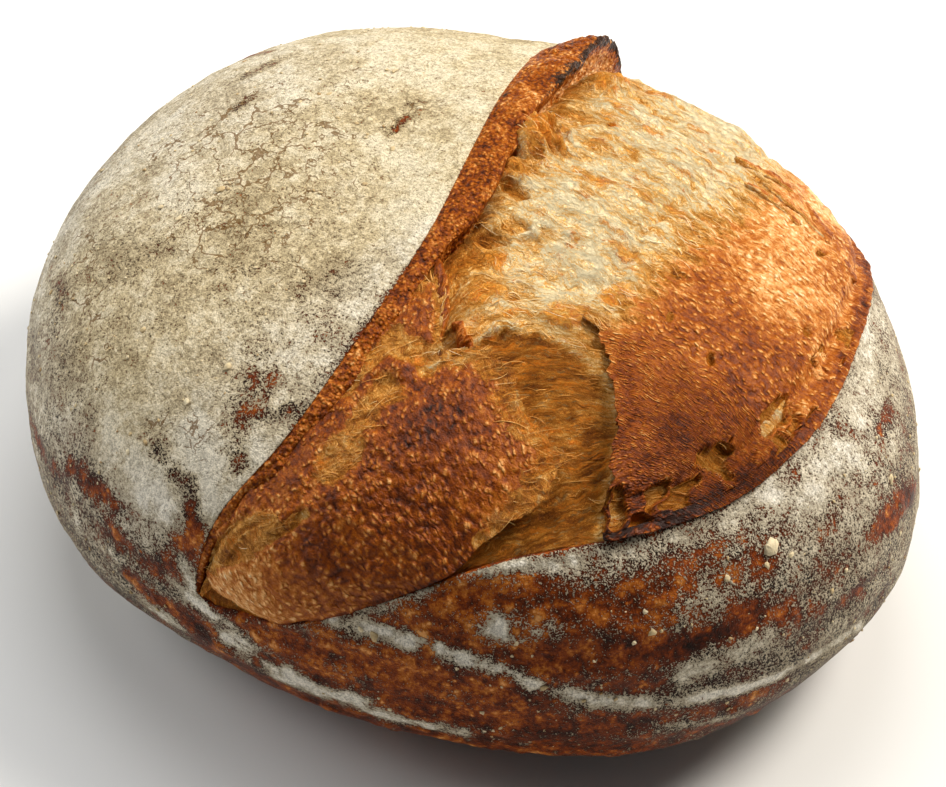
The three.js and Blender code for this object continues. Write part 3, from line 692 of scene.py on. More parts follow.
def crust_piece(material):
    n = OUTLINE_POINTS // 2
    ear_t = np.arange(n) / n
    outline = np.vstack([ear_direction(ear_t), lower_direction(1 - ear_t)])
    foot = direction_of(180, -55)
    angle = np.arccos(np.clip(outline @ foot, -1, 1))
    place = np.linspace(0, 1, CRUST_RINGS + 1)[1:-1]
    share = place * (0.62 + 0.38 * place ** 2)
    turned = share[:, None] * angle[None]
    rays = outline[None] * (np.sin(angle - turned) / np.sin(angle))[..., None]
    rays = unit(rays + foot * (np.sin(turned) / np.sin(angle))[..., None])
    directions = np.concatenate([outline[None], rays]).reshape(-1, 3)
    plain = skin_point(directions)
    azimuth = np.degrees(np.arctan2(directions[:, 1], directions[:, 0])) % 360
    height = plain[:, 2]

    fine_t = np.linspace(0, 1, 400)
    to_ear, which = nearest(plain, skin_point(ear_direction(fine_t)))
    to_lower, _ = nearest(plain, skin_point(lower_direction(fine_t)))
    on_ear_side = to_ear < to_lower
    away = np.minimum(to_ear, to_lower)
    lift = np.where(on_ear_side, station_value("edge", fine_t[which]) * bell(to_ear, EAR_SWELL), 0)
    lift = lift + np.where(on_ear_side, 0, 0.5 * bell(to_lower - 1.2, 1.6))

    # Flour: thick on the dome, thin and ringed by the basket on the flank.
    rise = np.degrees(np.arcsin(directions[:, 2]))
    side = lambda middle, spread: bell((azimuth - middle + 180) % 360 - 180, spread)
    rings = np.cos(2 * np.pi * (height + 2 + 1.5 * rough(plain, 40, 2, 3)) / RING_PITCH)
    flank = np.interp(azimuth, *np.array(FLANK_FLOUR).T) + 0.08 * rings - 0.12 * (1 - step(rise, -10, 8))
    on_dome = step(azimuth, 70, 110) * (1 - step(azimuth, 268, 276))
    dome = step(rise + 3 * rough(plain, 22, 3, 5), 8, 22) * on_dome
    # At the very top of the dome, from 98 mm up, the flour is thinned: partly real brown specks, partly
    # painted shade.
    flour = lerp(flank, 1.2 - 0.17 * (1 - step(rise, 18, 36)) - 0.12 * step(height, 98, 108), dome)
    flour += 0.16 * (1 - 0.6 * dome) * rough(plain, 16, 3, 1) + 0.1 * rough(plain, 5, 2, 2)
    for _, amount, width, places in STROKES:
        flour += amount * stroke(plain, places, width) * (1 + 0.85 * rough(plain, 5, 3, 11))
    flour += 0.2 * bell(away - 1.2, 1.8) * np.where(on_ear_side, 0.6, 1) * step(azimuth, 150, 250)
    flour = np.where(height < 4, np.minimum(flour, 0.3), flour)
    crack = sum(amount * stroke(plain, places, width) for amount, width, places in CRACKS) + 0.1 * dome
    cream = dome * (1 - 0.5 * step(azimuth, 238, 262)) * (1 - 0.5 * side(180, 30) * step(rise, 50, 30))
    bake = 0.42 + 0.1 * rough(plain, 12, 3, 4) + 0.14 * side(333, 22) * (1 - step(rise, -2, 12))
    high = step(rise, 8, 14)
    bake += 0.06 * side(260, 10) * high + 0.1 * side(240, 25) + 0.1 * side(0, 30) * (1 - high)
    bake -= 0.07 * side(300, 16) * step(rise, -8, 2) + 0.1 * side(310, 9) * step(rise, 8, 12)
    crease = stroke(plain, [(283, 6.6), (291, 5.6), (300, 4.8), (309, 2.6)], 1.1)
    bake -= 0.22 * crease

    # Relief: leathery crust, blisters on the bare flank, grains of flour on the dome.
    lift += 0.3 * rough(plain, 9, 3, 8) + (0.16 * rough(plain, 3, 2, 9)) * (0.5 + 0.5 * dome)
    lift += 0.22 * rings * (1 - dome) * step(height, 6, 14)
    blister = np.maximum(rough(plain, 3.4, 1, 21) - 0.25, 0) * (1 - step(flour, 0.2, 0.5))
    lift += 0.9 * blister + 0.4 * crease
    bake -= 0.35 * blister
    lift = np.where(away < 0.01, np.minimum(lift, station_value("edge", fine_t[which]) + 0.4), lift)
    steep = (plain_normal(directions) * directions).sum(-1)
    reach = plain_reach(directions) + lift / steep
    low = directions[:, 2] < -1e-6
    to_table = np.where(low, HEART_Z / np.where(low, -directions[:, 2], 1), 1e9)
    reach = np.minimum(reach, to_table)
    surface = directions * reach[:, None] + heart

    # Inside the score the crust turns down and closes under the bloom.
    middle = direction_of(0, 55)
    inner = []
    for depth, share in ((0.35, 0.004), (1.4, 0.006), (3.5, 0.008), (7, 0.01), (SCORE_DEPTH, 0.012),
                         (SCORE_DEPTH, 0.3), (SCORE_DEPTH, 0.65)):
        inner.append(skin_point(unit(lerp(outline, middle, share)), lift.reshape(-1, 2 * n)[0] - depth))
    points = np.vstack([*inner[::-1], surface, skin_point(middle[None], -SCORE_DEPTH), foot_point(foot)])
    columns = 2 * n
    rows = (len(points) - 2) // columns
    hubs = len(points) - 2
    faces = [grid_faces(rows, columns, closed=True)[:, ::-1], fan(np.arange(columns), hubs)[:, ::-1],
             fan((rows - 1) * columns + np.arange(columns), hubs + 1)]
    covered = len(inner) * columns
    fill = lambda values, inside: np.concatenate([np.full(covered, inside), values, [inside, values[-1]]])
    paint = {"flour": fill(np.clip(flour, -0.6, 1.6), 0.0), "bake": fill(bake, 0.45),
             "crack": fill(crack, 0.0), "cream": fill(cream, 0.0)}
    return make_piece("loaf_crust", points, faces, material, paint, replaces=True)


def foot_point(direction):
    return (direction * min(float(plain_reach(direction[None])[0]), HEART_Z / -direction[2]) + heart)[None]


# ---------- The bloom ----------

def score_chart(s, t, width):
    """Millimetres across and along the score."""
    along = s * width
    return np.stack([along, t * SCORE_LENGTH - 0.14 * along, np.zeros_like(along)], -1)


def flow_chart(points):
    """Millimetres along and across the pull of the crumb: straight off the ear, bending in the valley."""
    x, y, z = (points[..., n] for n in range(3))
    turn = 1.3 * step(-y, 4, 44)
    whorl = (1 + 1.6 * step(-y, -4, 12)) * rough(points, 11, 2, 83)
    along = 0.85 * x - 0.5 * z + 0.5 * turn * (y + 30)
    return np.stack([along, y - turn * (x - 35) + whorl, np.zeros_like(x)], -1)


def pull_direction(points):
    """The direction of the threads there, in plan."""
    ahead = (flow_chart(points + [0.5, 0, 0]) - flow_chart(points - [0.5, 0, 0]))[..., 1]
    aside = (flow_chart(points + [0, 0.5, 0]) - flow_chart(points - [0, 0.5, 0]))[..., 1]
    return unit(np.stack([aside, -ahead, np.zeros_like(ahead)], -1))


def crumb_relief(points):
    """How far torn crumb stands above its sheet: pulled ridges, loose folds and pores."""
    u, v = flow_chart(points)[..., 0], flow_chart(points)[..., 1]
    sway = 2.4 * rough(points, 8, 2, 77)
    coarse = 1 - np.abs(noise(u / 9, (v + sway) / 2.4, 7.7))
    fine = 1 - np.abs(noise(u / 6, (v + sway) / 1.2, 1.3))
    thread = 0.6 * coarse ** 2 + 0.4 * fine ** 2
    return 0.9 * (thread - 0.45) + 0.75 * rough(points, 6, 3, 31) + 0.8 * noise(u / 14, v / 6, 2.2), thread


def toast(s, t):
    """How far the bloom has browned: pale by the ear, browning towards the lower edge."""
    return 0.14 * step(s, 0.46, 0.76) * step(t, 0.46, 0.54)


PORE = (0.275, 0.64)  # a pore in the pale bloom, sunk and painted near black: share across, share along
CAVE = (0.185, 0.635)  # the hollow under the top of the ear, darkened with painted shade
TUFTS = [  # golden tufts: (s, t), half length and half width in mm, how far raised, how much toasted
    (0.36, 0.657, 4.5, 2.2, 0.3, 0.26), (0.295, 0.615, 3, 2, 0.3, 0.22), (0.445, 0.655, 2.4, 2.4, 0.4, 0.28),
    (0.49, 0.64, 4, 1.8, 0.4, 0.24), (0.37, 0.582, 8, 1.6, 0.5, 0.28), (0.46, 0.597, 5.5, 1.8, 0.5, 0.28),
    (0.36, 0.555, 2.6, 1.6, 0.3, 0.22), (0.555, 0.612, 3.4, 2.4, 0.7, 0.4), (0.61, 0.64, 3.6, 1, 0.5, 0.45),
    (0.635, 0.632, 2.6, 0.9, 0.5, 0.45), (0.435, 0.525, 3, 2.6, 0.6, 0.28),
    (0.48, 0.552, 6.5, 1.6, 0.5, 0.24), (0.56, 0.547, 8, 2.2, 0.7, 0.32), (0.61, 0.512, 3, 5, 1.2, 0.42),
    (0.56, 0.468, 4.5, 6, 1.5, 0.46),
    (0.325, 0.43, 4.5, 2, 0.5, 0.24), (0.46, 0.44, 3.4, 1.6, 0.4, 0.24), (0.31, 0.517, 3.4, 2, 0.4, 0.24),
    (0.43, 0.51, 2.6, 1.8, 0.4, 0.2), (0.415, 0.48, 5, 2, 0.4, 0.2), (0.28, 0.455, 5, 1.5, 0.4, 0.18),
    (0.13, 0.578, 8, 9, 5.5, 0.36), (0.11, 0.53, 6, 7, 3, 0.26), (0.18, 0.7, 6, 6, 3, 0.3),
    (0.285, 0.73, 4, 3, 0.8, 0.32), (0.43, 0.703, 4, 1.6, 0.5, 0.3), (0.48, 0.69, 5, 1.2, 0.4, 0.26),
    (0.655, 0.603, 4, 1.4, 0.4, 0.3), (0.52, 0.67, 4, 1.6, 0.4, 0.24), (0.24, 0.665, 5, 2, 0.4, 0.16),
]
ARCH = [  # the torn rim over the valley: (s, t) from the tongue round to the lower edge
    (0.38, 0.35), (0.41, 0.38), (0.42, 0.398), (0.46, 0.417), (0.53, 0.438), (0.6, 0.45), (0.665, 0.458),
    (0.73, 0.458), (0.78, 0.453), (0.825, 0.445), (0.87, 0.425), (0.915, 0.405), (0.955, 0.393), (1, 0.38),
]


def distance_to(plain, s, t):
    spot = skin_point(across_score(np.array([s]), np.array([t])))
    return np.linalg.norm(plain - spot, axis=-1)


def bed_surface(s, t):
    """Lift, browning, golden toasting and valley mask of the torn crumb, and the places they belong to; the
    browning holds painted shade in the pockets and the hollow by the ear.
    """
    width = score_width(t)
    plain = skin_point(across_score(s, t))
    relief, thread = crumb_relief(plain)
    u, v = flow_chart(plain)[..., 0], flow_chart(plain)[..., 1]
    by_ear = s * width
    below = (np.interp(s, *np.array(ARCH).T) - t) * SCORE_LENGTH + 1.2 * rough(plain, 5, 3, 66)
    below = np.where(s < 0.38, -20.0, below)
    valley = step(below, -0.6, 1.4)
    upper = (1 - valley) * step(t, 0.36, 0.4) * (1 - step(s, 0.56, 0.66) * (1 - step(t, 0.48, 0.52)))
    _, wall, name = cells(u / 1.5, v, 5.5, 4)
    pocket = step(wall, 0.08, 0.4) * (name < 0.2 + 0.4 * bell(by_ear - 5, 8)) * step(t, 0.42, 0.46)
    pocket = pocket * (1 - step(s, 0.3, 0.5))
    cave = bell(distance_to(plain, *CAVE), 6.5)
    hole = bell(distance_to(plain, *PORE), 0.9)
    lift = bed_lift(s, t, width) + relief * (1 - 0.5 * valley) - 1.5 * pocket - 1.8 * cave - 1.2 * hole
    lift = lift + 2.4 * (1 - step(t, 0.06, 0.1)) * step(s, 0.08, 0.2) + 2.4 * step(t, 0.9, 0.94)
    lift = lift + step(s, 0.88, 0.99) * (1.8 * bell(t - 0.36, 0.08) + 1.3 * step(t, 0.74, 0.8))
    lift = lift + 0.9 * bell(below + 1.5, 2.2) + 0.5 * bell(below + 4, 7) - 0.5 * valley
    raised, gold = 0, 0
    for tuft_s, tuft_t, length, across, rise, toasted in TUFTS:
        here = flow_chart(skin_point(across_score(np.array([tuft_s]), np.array([tuft_t]))))[0]
        away = np.hypot((u - here[0]) / length, (v - here[1]) / across)
        inside = 1 - step(away + 0.3 * rough(plain, 2.6, 2, 31), 0.45, 1.25)
        raised, gold = raised + rise * inside, np.maximum(gold, toasted * inside)
    lift = lift + raised * (0.75 + 0.5 * thread)
    bake = 0.31 - 0.26 * upper * step(by_ear, 4, 52) + 0.19 * valley + toast(s, t)
    bake = bake + 0.1 * upper * (1 - step(t, 0.42, 0.5)) - 0.04 * bell(below + 0.6, 1.6)
    # By the ear the crumb is painted darker: partly browning, partly painted shade under the ear; the sunk
    # pockets there are darkened with painted shade.
    bake = bake + 0.1 * bell(by_ear, 10) + 0.16 * pocket - 0.18 * (thread - 0.45)
    # Painted shade in the hollow under the top of the ear; the pore is painted near black.
    bake = bake + 0.08 * rough(plain, 14, 2, 90) + 0.12 * cave + 1.2 * hole
    return lift, bake, gold, valley, plain


def bed_piece(material, rows=400, columns=180):
    t = np.linspace(0.001, 0.999, rows)[:, None]
    width = score_width(t)
    tuck = 2 / width
    s = lerp(-tuck, 1 + tuck, np.linspace(0, 1, columns)[None])
    t = np.broadcast_to(t, s.shape)
    lift, bake, gold, valley_mask, plain = bed_surface(s, t)
    lift = np.where((s > 0) & (s < 1), lift, bed_lift(s, t, width))
    top = skin_point(across_score(s, t), lift)
    under_s = lerp(-tuck, 1 + tuck, np.linspace(1, 0, 10)[None])
    under = skin_point(across_score(under_s, np.broadcast_to(t[:, :1], under_s.shape)), -SCORE_DEPTH - 3)
    return closed_tube("loaf_bed", np.concatenate([top, under], 1), material, {
        "bake": (bake, 0.4), "gold": (gold, 0.0), "valley_mask": (valley_mask, 0.0),
        "chart": (flow_chart(plain), (0.0, 0.0, 0.0))})


def closed_tube(name, loops, material, paint):
    """A closed piece from loops of points; paint covers each loop's first points, a plain value the rest."""
    rows, columns = loops.shape[:2]
    ends = np.stack([loops[0].mean(0), loops[-1].mean(0)])
    points = np.vstack([loops.reshape(-1, 3), ends])
    faces = [grid_faces(rows, columns, closed=True), fan(np.arange(columns), len(points) - 2)[:, ::-1],
             fan((rows - 1) * columns + np.arange(columns), len(points) - 1)]
    layers = {}
    for key, (values, rest) in paint.items():
        rest = np.asarray(rest, float)
        full = np.broadcast_to(rest, (rows, columns) + rest.shape).copy()
        full[:, :values.shape[1]] = values
        flat = full.reshape((rows * columns,) + rest.shape)
        layers[key] = np.concatenate([flat, np.broadcast_to(rest, (2,) + rest.shape)])
    return make_piece(name, points, faces, material, layers)


WINDOWS = [  # pale fibrous openings in the tongue: half width in mm, then (s, t) along the middle
    (4.4, [(0.24, 0.335), (0.3, 0.34), (0.33, 0.345)]), (4.4, [(0.27, 0.3), (0.31, 0.245), (0.33, 0.22)]),
    (4.0, [(0.3, 0.15), (0.25, 0.1), (0.16, 0.062)]), (2.6, [(0.13, 0.33), (0.11, 0.27)]),
    (3.2, [(0.94, 0.35), (0.91, 0.3)]), (1.8, [(0.4, 0.18), (0.38, 0.15)]),
]


def skin_piece(skin, material, around, rings):
    turn = np.arange(around) / around
    border = curve(skin["outline"], turn, closed=True)
    border[:, 0] += 0.02 * step(border[:, 0], 0.93, 0.975)
    place = skin_point(across_score(border[:, 0], border[:, 1]))
    tatter = rough(place, 6, 4, 40) * (1 - 0.7 * step(border[:, 0], 0.9, 0.97))
    tatter = tatter + 1.6 * rough(place, 5, 3, 47) * (1 - step(border[:, 0], 0.56, 0.64)) * (skin is SHIELD)
    middle = np.array(skin["middle"])
    share = np.concatenate([np.linspace(0.004, 0.9, rings - 30), np.linspace(0.9, 1, 31)[1:]])[:, None]
    torn_edge = (1 - step(border[:, 0], 0.9, 0.95)) * step(border[:, 1], 0.3, 0.36)
    tatter = tatter + 0.9 * rough(place, 2.4, 3, 45) * torn_edge
    ragged = 1 + 0.024 * tatter[None] * step(share, 0.6, 1)
    place_at = lambda reach: (np.clip(lerp(middle[0], border[:, 0], reach), 0.004, 1.006),
                              lerp(middle[1], border[:, 1], reach))
    s, t = place_at(share * ragged)
    directions = across_score(s, t)
    width = score_width(t)
    plain = skin_point(directions)
    is_tongue = skin is TONGUE
    chart = score_chart(s, t, width)
    flow = chart if is_tongue else flow_chart(plain)
    a, b = chart[..., 0], chart[..., 1]
    warp = 1.2 * rough(plain, 5, 2, 50)
    first, _, size_of = cells((flow[..., 0] + warp) / 1.35, flow[..., 1] + warp, 1.5 if is_tongue else 1.8, 2)
    bump = 1 - step(first, 0.15, 0.8)
    from_rim = (1 - s) * width
    lift = skin_lift(skin, share, border[:, 2][None], s, t)
    relief, thread = crumb_relief(plain)
    # Windows where the skin tore and the crumb shows.
    if is_tongue:
        opened = np.zeros_like(s)
        for size, places in WINDOWS:
            line = curve(places, np.linspace(0, 1, 12))
            away, _ = nearest(plain.reshape(-1, 3), skin_point(across_score(line[:, 0], line[:, 1])))
            away = away.reshape(s.shape) + size * 0.45 * rough(plain, 6, 3, 61)
            opened = np.maximum(opened, 1 - step(away, 0.5 * size, 1.5 * size))
        fray = step(t, 0.27, 0.35) * step(share + 0.04 * rough(plain, 5, 3, 63), 0.78, 0.98)
        opened = np.maximum(opened, 0.9 * fray)
        rim = 0
    else:
        zone = (1 - step(from_rim, 5, 11)) * step(from_rim, 0.8, 2)
        zone = zone * step(t, 0.38, 0.4) * (1 - step(t, 0.62, 0.74))
        _, wall, name = cells(a + 2 * warp, b + 2 * warp, 6.6, 11, 1.0)
        opened = step(wall, 0.06, 0.2) * (name < 0.74 * zone)
        rim = bell(wall - 0.03, 0.1) * step(zone, 0.2, 0.6) * (name < 0.85 * zone)
        hole, _, chosen = cells(a, b, 6.0, 21)
        opened = np.maximum(opened, (1 - step(hole, 0.1, 0.24)) * (chosen < 0.07) * step(share, 0, 0.2))
        fray = (1 - step(s, 0.54, 0.78)) * step(t, 0.45, 0.5)
        opened = np.maximum(opened, fray)
    blistered = (0.24 if is_tongue else 0.34) * (bump - 0.4) + 0.25 * rough(plain, 2.6, 2, 53)
    lift = lift + blistered * (1 - opened) + 0.45 * rough(plain, 8, 3, 51)
    if not is_tongue:
        lift = lift - 0.9 * fray * step(share, 0.85, 0.98)
        lift = lift - 1.3 * step(share, 0.9, 1) * (1 - step(s, 0.66, 0.78)) * step(t, 0.42, 0.46)
    lift = lift + opened * (0.7 * relief - (1.1 if is_tongue else 1.6) * (1 - fray)) + 0.7 * rim
    if is_tongue:
        bake = 0.45 + 0.02 * step(t, 0.22, 0.3) + 0.06 * bell(s - 0.66, 0.28) * bell(t - 0.33, 0.08)
        # Within about 6 mm of the ear the tongue is painted darker: painted shade in the groove along the
        # ear.
        bake = bake + 0.12 * bell(s - 0.36, 0.2) * bell(t - 0.31, 0.07) + 0.2 * bell(s * width, 6)
        bake = bake - 0.24 * (1 - step(t, 0.07, 0.15))
        bake = bake + 0.08 * step(rough(plain, 11, 3, 55), 0.1, 0.6)
        bake = bake + 0.05 - 0.06 * bell(t - 0.36, 0.03) * step(s, 0.3, 0.5)
        bake = bake + 0.12 * step(share, 0.95, 1) * step(s, 0.9, 0.97)
    else:
        # Darker towards the near end of the score: partly browning, partly painted shade of the part turned
        # from the light.
        bake = 0.21 + 0.3 * step(-t - 0.1 * s, -0.76, -0.52) + 0.19 * step(s, 0.75, 0.95)
        bake = np.minimum(bake, 0.2 + toast(s, t) + 0.3 * step(s, 0.6, 0.8) + 0.4 * (1 - step(t, 0.47, 0.5)))
        bake = bake + 0.24 * bell(from_rim - 1.5, 2.4) - 0.16 * rim
        bake = bake + 0.12 * step(rough(plain, 14, 3, 55), 0, 0.6)
        # Along the torn rim over the valley the skin is painted paler: partly pale torn edge, partly painted
        # highlight.
        torn = step(share, 0.955, 0.985) * (1 - step(s, 0.72, 0.85)) * (1 - step(t, 0.5, 0.53))
        bake = bake - 0.1 * torn
    # The raised bumps are painted paler and the dips between them darker: painted highlight and shade.
    bake = bake - 0.15 * (bump - 0.4) + 0.1 * rough(plain, 16, 3, 52) + 0.06 * (size_of - 0.5)
    _, crumb_bake, gold, valley_mask, _ = bed_surface(s, t)
    inside = lerp(0.42 if is_tongue else 0.47, crumb_bake, fray) - 0.2 * (thread - 0.45)
    bake = lerp(bake, inside, opened)
    last, outer = lift[-1], ragged[-1]
    under = [(0.997, last - 0.45), (0.987, last - 1.0), (0.98, last - 2.2), (0.975, 1.0 - SKIN_ROOT),
             (0.5, -SKIN_ROOT)]
    rows = [skin_point(across_score(*place_at(k * outer)), np.broadcast_to(h, around)) for k, h in under]
    rows = np.concatenate([skin_point(directions, lift), np.stack(rows)])
    below = len(under)
    carry = lambda values: np.concatenate([values, np.repeat(values[-1:], below, 0)])
    hub = across_score(middle[:1], middle[1:])
    points = np.vstack([rows.reshape(-1, 3), skin_point(hub, lift[0].mean()), skin_point(hub, -SKIN_ROOT)])
    n = len(points)
    faces = [grid_faces(len(rows), around, closed=True)[:, ::-1], fan(np.arange(around), n - 2),
             fan((len(rows) - 1) * around + np.arange(around), n - 1)[:, ::-1]]
    paint = {}
    layers = {"bake": bake, "opened": opened, "gold": gold * fray, "valley_mask": valley_mask * fray, "chart": flow}
    for key, values in layers.items():
        flat = carry(values).reshape((-1,) + values.shape[2:])
        paint[key] = np.concatenate([flat, flat[:1], flat[-1:]])
    make_piece("loaf_" + skin["name"], points, faces, material, paint)
    torn = opened > 0.45
    return plain[torn], lift[torn], bake[torn]


# ---------- The ear ----------

EAR_FLOOR = -11  # height of the ear piece's underside, hidden in the loaf


def ear_frame(t):
    here = ear_direction(t)
    run = skin_point(ear_direction(t + 0.004)) - skin_point(ear_direction(t - 0.004))
    towards = unit(np.cross(run, plain_normal(here)))
    return skin_point(here), towards


def ear_point(t, w, h):
    start, towards = ear_frame(t)
    return skin_point(unit(start + towards * w[..., None] - heart), h)


def ear_piece(material, rows=640):
    t = np.linspace(0.02, 0.985, rows)
    along = t * SCORE_LENGTH / EAR_RAGS["length"]
    lip = station_value("lip", t) * (1 + EAR_RAGS["height"] * noise(along, 0, 3) / 5)
    width = station_value("ear_width", t) + EAR_RAGS["width"] * noise(along, 0, 8)
    edge = station_value("edge", t)
    rag = noise(t * SCORE_LENGTH / 2.6, 0, 5) * 0.35 + noise(t * SCORE_LENGTH / 1.1, 0, 6) * 0.2
    rag = rag * step(width, 3, 9)
    corners = [  # (share of width, height)
        (-0.25, edge - 1.6), (-0.03, edge - 0.25), (0.3, lerp(edge, lip, 0.3) + 0.07 * width),
        (0.65, lerp(edge, lip, 0.7) + 0.06 * width), (0.92, lip + rag), (1, lip - 0.9 + rag),
        (0.93, lip - 0.3 * width), (0.8, lip - 0.62 * width), (0.78, lip - width - 1),
        (0.76, np.full_like(t, EAR_FLOOR)),
    ]
    w = np.stack([c[0] * width for c in corners], 1)
    h = np.stack([c[1] for c in corners], 1)
    counts = [2, 16, 14, 14, 7, 9, 9, 9, 5]  # points from each corner up to the next
    ws, hs, place = [], [], []
    for k, count in enumerate(counts):
        f = np.linspace(0, 1, count, endpoint=False)[None]
        ws.append(lerp(w[:, k:k + 1], w[:, k + 1:k + 2], f))
        hs.append(lerp(h[:, k:k + 1], h[:, k + 1:k + 2], f))
        place.append(np.broadcast_to(k + f, ws[-1].shape))
    ws, hs, place = (np.concatenate(x + [y], 1) for x, y in (
        (ws, w[:, -1:]), (hs, h[:, -1:]), (place, np.full((rows, 1), 9.0))))
    soft = lambda a: np.concatenate([a[:, :1], (a[:, :-2] + 2 * a[:, 1:-1] + a[:, 2:]) / 4, a[:, -1:]], 1)
    for _ in range(3):
        ws, hs = soft(ws), soft(hs)
    tt = np.broadcast_to(t[:, None], ws.shape)
    plain = ear_point(tt, ws, hs)
    on_face = step(place, 1, 1.6) * (1 - step(place, 5.5, 6.2))
    first, _, _ = cells(place * width[:, None] / 3.4, tt * SCORE_LENGTH, 1.7, 8)
    grainy = 0.5 * (0.5 - step(first, 0.1, 0.8)) + 0.35 * rough(plain, 1.8, 2, 70)
    grainy = grainy + 0.4 * rough(plain, 5, 2, 71)
    wall = step(place, 5.8, 6.6)
    hollow = rough(plain, 4.5, 3, 72)
    hs = hs + grainy * on_face * step(width, 1.5, 5)[:, None]
    fibres = rough(plain * np.array([1, 1, 0.35]), 1.6, 2, 73)
    ws = ws + wall * (0.8 * hollow + 0.5 * fibres) * step(width, 3, 9)[:, None]
    bottom_w = np.stack([0.6 * width, 0.0 * width, -0.3 * width], 1)
    bottom_h = np.full((rows, 3), EAR_FLOOR)
    ws_all, hs_all = np.concatenate([ws, bottom_w], 1), np.concatenate([hs, bottom_h], 1)
    loops = ear_point(np.broadcast_to(t[:, None], ws_all.shape), ws_all, hs_all)
    upper = step(t, 0.42, 0.6)[:, None]
    # The grains' raised middles are painted paler and their edges darker: painted highlight and shade.
    bake = 0.58 + 0.1 * rough(plain, 8, 3, 74) + 0.12 * step(first, 0.1, 0.8)
    bake = lerp(bake, 0.3 + 0.14 * hollow, wall * upper)
    char = 0.8 * bell(place - 4.6, 1.3) * step(t, 0.54, 0.66)[:, None] + 0.3 * bell(place - 1.2, 0.5) * upper
    paint = {"bake": (bake[::-1], 0.5), "char": (char[::-1], 0.0)}
    return closed_tube("loaf_ear", loops[::-1], material, paint)


# ---------- Threads of crumb and clumps of flour ----------

def thread_bunch(name, material, starts, lift, reach, arch, thick, bakes, sides=3, steps=8):
    """Tapered threads laid over the score from their middles, running the way the crumb was pulled."""
    count = len(starts)
    f = np.linspace(-1, 1, steps)[None]
    normal = plain_normal(unit(starts - heart))
    ahead = pull_direction(starts)
    ahead = unit(ahead - normal * (ahead * normal).sum(-1, keepdims=True))
    aside = np.cross(normal, ahead)
    turned = chance.normal(0, 0.4, (count, 1)) + chance.normal(0, 0.22, (count, 1)) * f
    run = reach[:, None] / 2 * f
    spread = ahead[:, None] * (run * np.cos(turned))[..., None]
    spread = spread + aside[:, None] * (run * np.sin(turned))[..., None]
    lifts = lift[:, None] + arch[:, None] * (1 - f ** 2) - 0.25
    spine = skin_point(unit(starts[:, None] + spread - heart), lifts)
    tangent = unit(np.gradient(spine, axis=1))
    side = unit(np.cross(tangent, normal[:, None]))
    top = np.cross(side, tangent)
    radius = thick[:, None] * np.sqrt(np.clip(1 - f ** 2, 0.03, 1))
    turn = np.arange(sides) * 2 * np.pi / sides
    loop = side[:, :, None] * np.cos(turn)[:, None] + top[:, :, None] * np.sin(turn)[:, None]
    points = (spine[:, :, None] + loop * radius[:, :, None, None]).reshape(count, -1, 3)
    per = steps * sides + 2
    all_points = np.concatenate([points, spine[:, :1], spine[:, -1:]], 1).reshape(-1, 3)
    caps = np.concatenate([fan(np.arange(sides), per - 2)[:, ::-1],
                           fan((steps - 1) * sides + np.arange(sides), per - 1)])
    offset = (np.arange(count) * per)[:, None, None]
    tubes = grid_faces(steps, sides, closed=True)[None] + offset
    faces = [tubes.reshape(-1, 4), (caps[None] + offset).reshape(-1, 3)]
    return make_piece(name, all_points, faces, material, {"bake": np.repeat(bakes, per)})


STRANDS = [  # torn ridges on the bloom: (s, t) from and to, lift of what they lie on, width, height, tone
    ((0.075, 0.412), (0.31, 0.364), 0.2, 4, 1.5, 0.5), ((0.3, 0.385), (0.42, 0.38), -1.2, 3, 1.6, 0.4),
    ((0.54, 0.7), (0.72, 0.734), 0.3, 2, 0.5, 0.3), ((0.6, 0.685), (0.78, 0.712), 0.5, 1.6, 0.3, 0.3),
    ((0.73, 0.736), (0.95, 0.742), 0.5, 3.4, 0.6, 0.4), ((0.62, 0.7), (0.82, 0.73), 0.6, 1.4, 0.3, 0.26),
]


def torn_strands(material, steps=70, sides=14):
    """Ragged ridges of torn crumb and crust, toasted along the top."""
    f = np.linspace(0, 1, steps)[:, None]
    turn = np.linspace(0, np.pi, sides - 2)[None]
    points, faces, bakes, charts = [], [], [], []
    for k, (start, end, base, across, height, tone) in enumerate(STRANDS):
        s, t = lerp(start[0], end[0], f), lerp(start[1], end[1], f)
        full = 0.1 + 0.9 * np.sin(np.pi * f) ** 0.6
        width = float(score_width(np.array([t.mean()]))[0])
        run = unit(np.array([(end[0] - start[0]) * width, (end[1] - start[1]) * SCORE_LENGTH]))
        sway = 0.4 * across * noise(f * 5, k * 7.0, 0.3)
        rag = 1 + 0.55 * noise(f * 16, k * 3.0, 0.7) + 0.3 * noise(f * 40, turn * 2, k * 1.0)
        b = sway + -np.cos(turn) * 0.5 * across * full * (0.8 + 0.2 * rag)
        h = base - 0.3 + np.sin(turn) * (height + 0.3) * full * rag
        b = np.concatenate([b, sway + 0.3 * across * full, sway - 0.3 * across * full], 1)
        h = np.concatenate([h, np.full((steps, 2), base - 5.0)], 1)
        loops = skin_point(across_score(s - run[1] * b / width, t + run[0] * b / SCORE_LENGTH), h)
        first = sum(len(p) for p in points)
        points.append(np.vstack([loops.reshape(-1, 3), loops[0].mean(0), loops[-1].mean(0)]))
        n = first + steps * sides
        faces += [grid_faces(steps, sides, closed=True) + first, fan(first + np.arange(sides), n)[:, ::-1],
                  fan(n - sides + np.arange(sides), n + 1)]
        crest = np.concatenate([np.sin(turn) ** 2 * np.ones_like(f), np.zeros((steps, 2))], 1)
        toasted = tone - 0.1 + 0.16 * crest * rag.mean(1, keepdims=True)
        bakes.append(np.concatenate([toasted.ravel(), [tone, tone]]))
        charts.append(flow_chart(points[-1]))
    bakes = np.concatenate(bakes)
    paint = {"bake": bakes, "chart": np.vstack(charts), "opened": 0.9 - 0.9 * step(bakes, 0.26, 0.34)}
    return make_piece("torn_strands", np.vstack(points), faces, material, paint)


BLOOM_THREADS = 1300
OPENING_THREADS = 420  # in each skin's openings


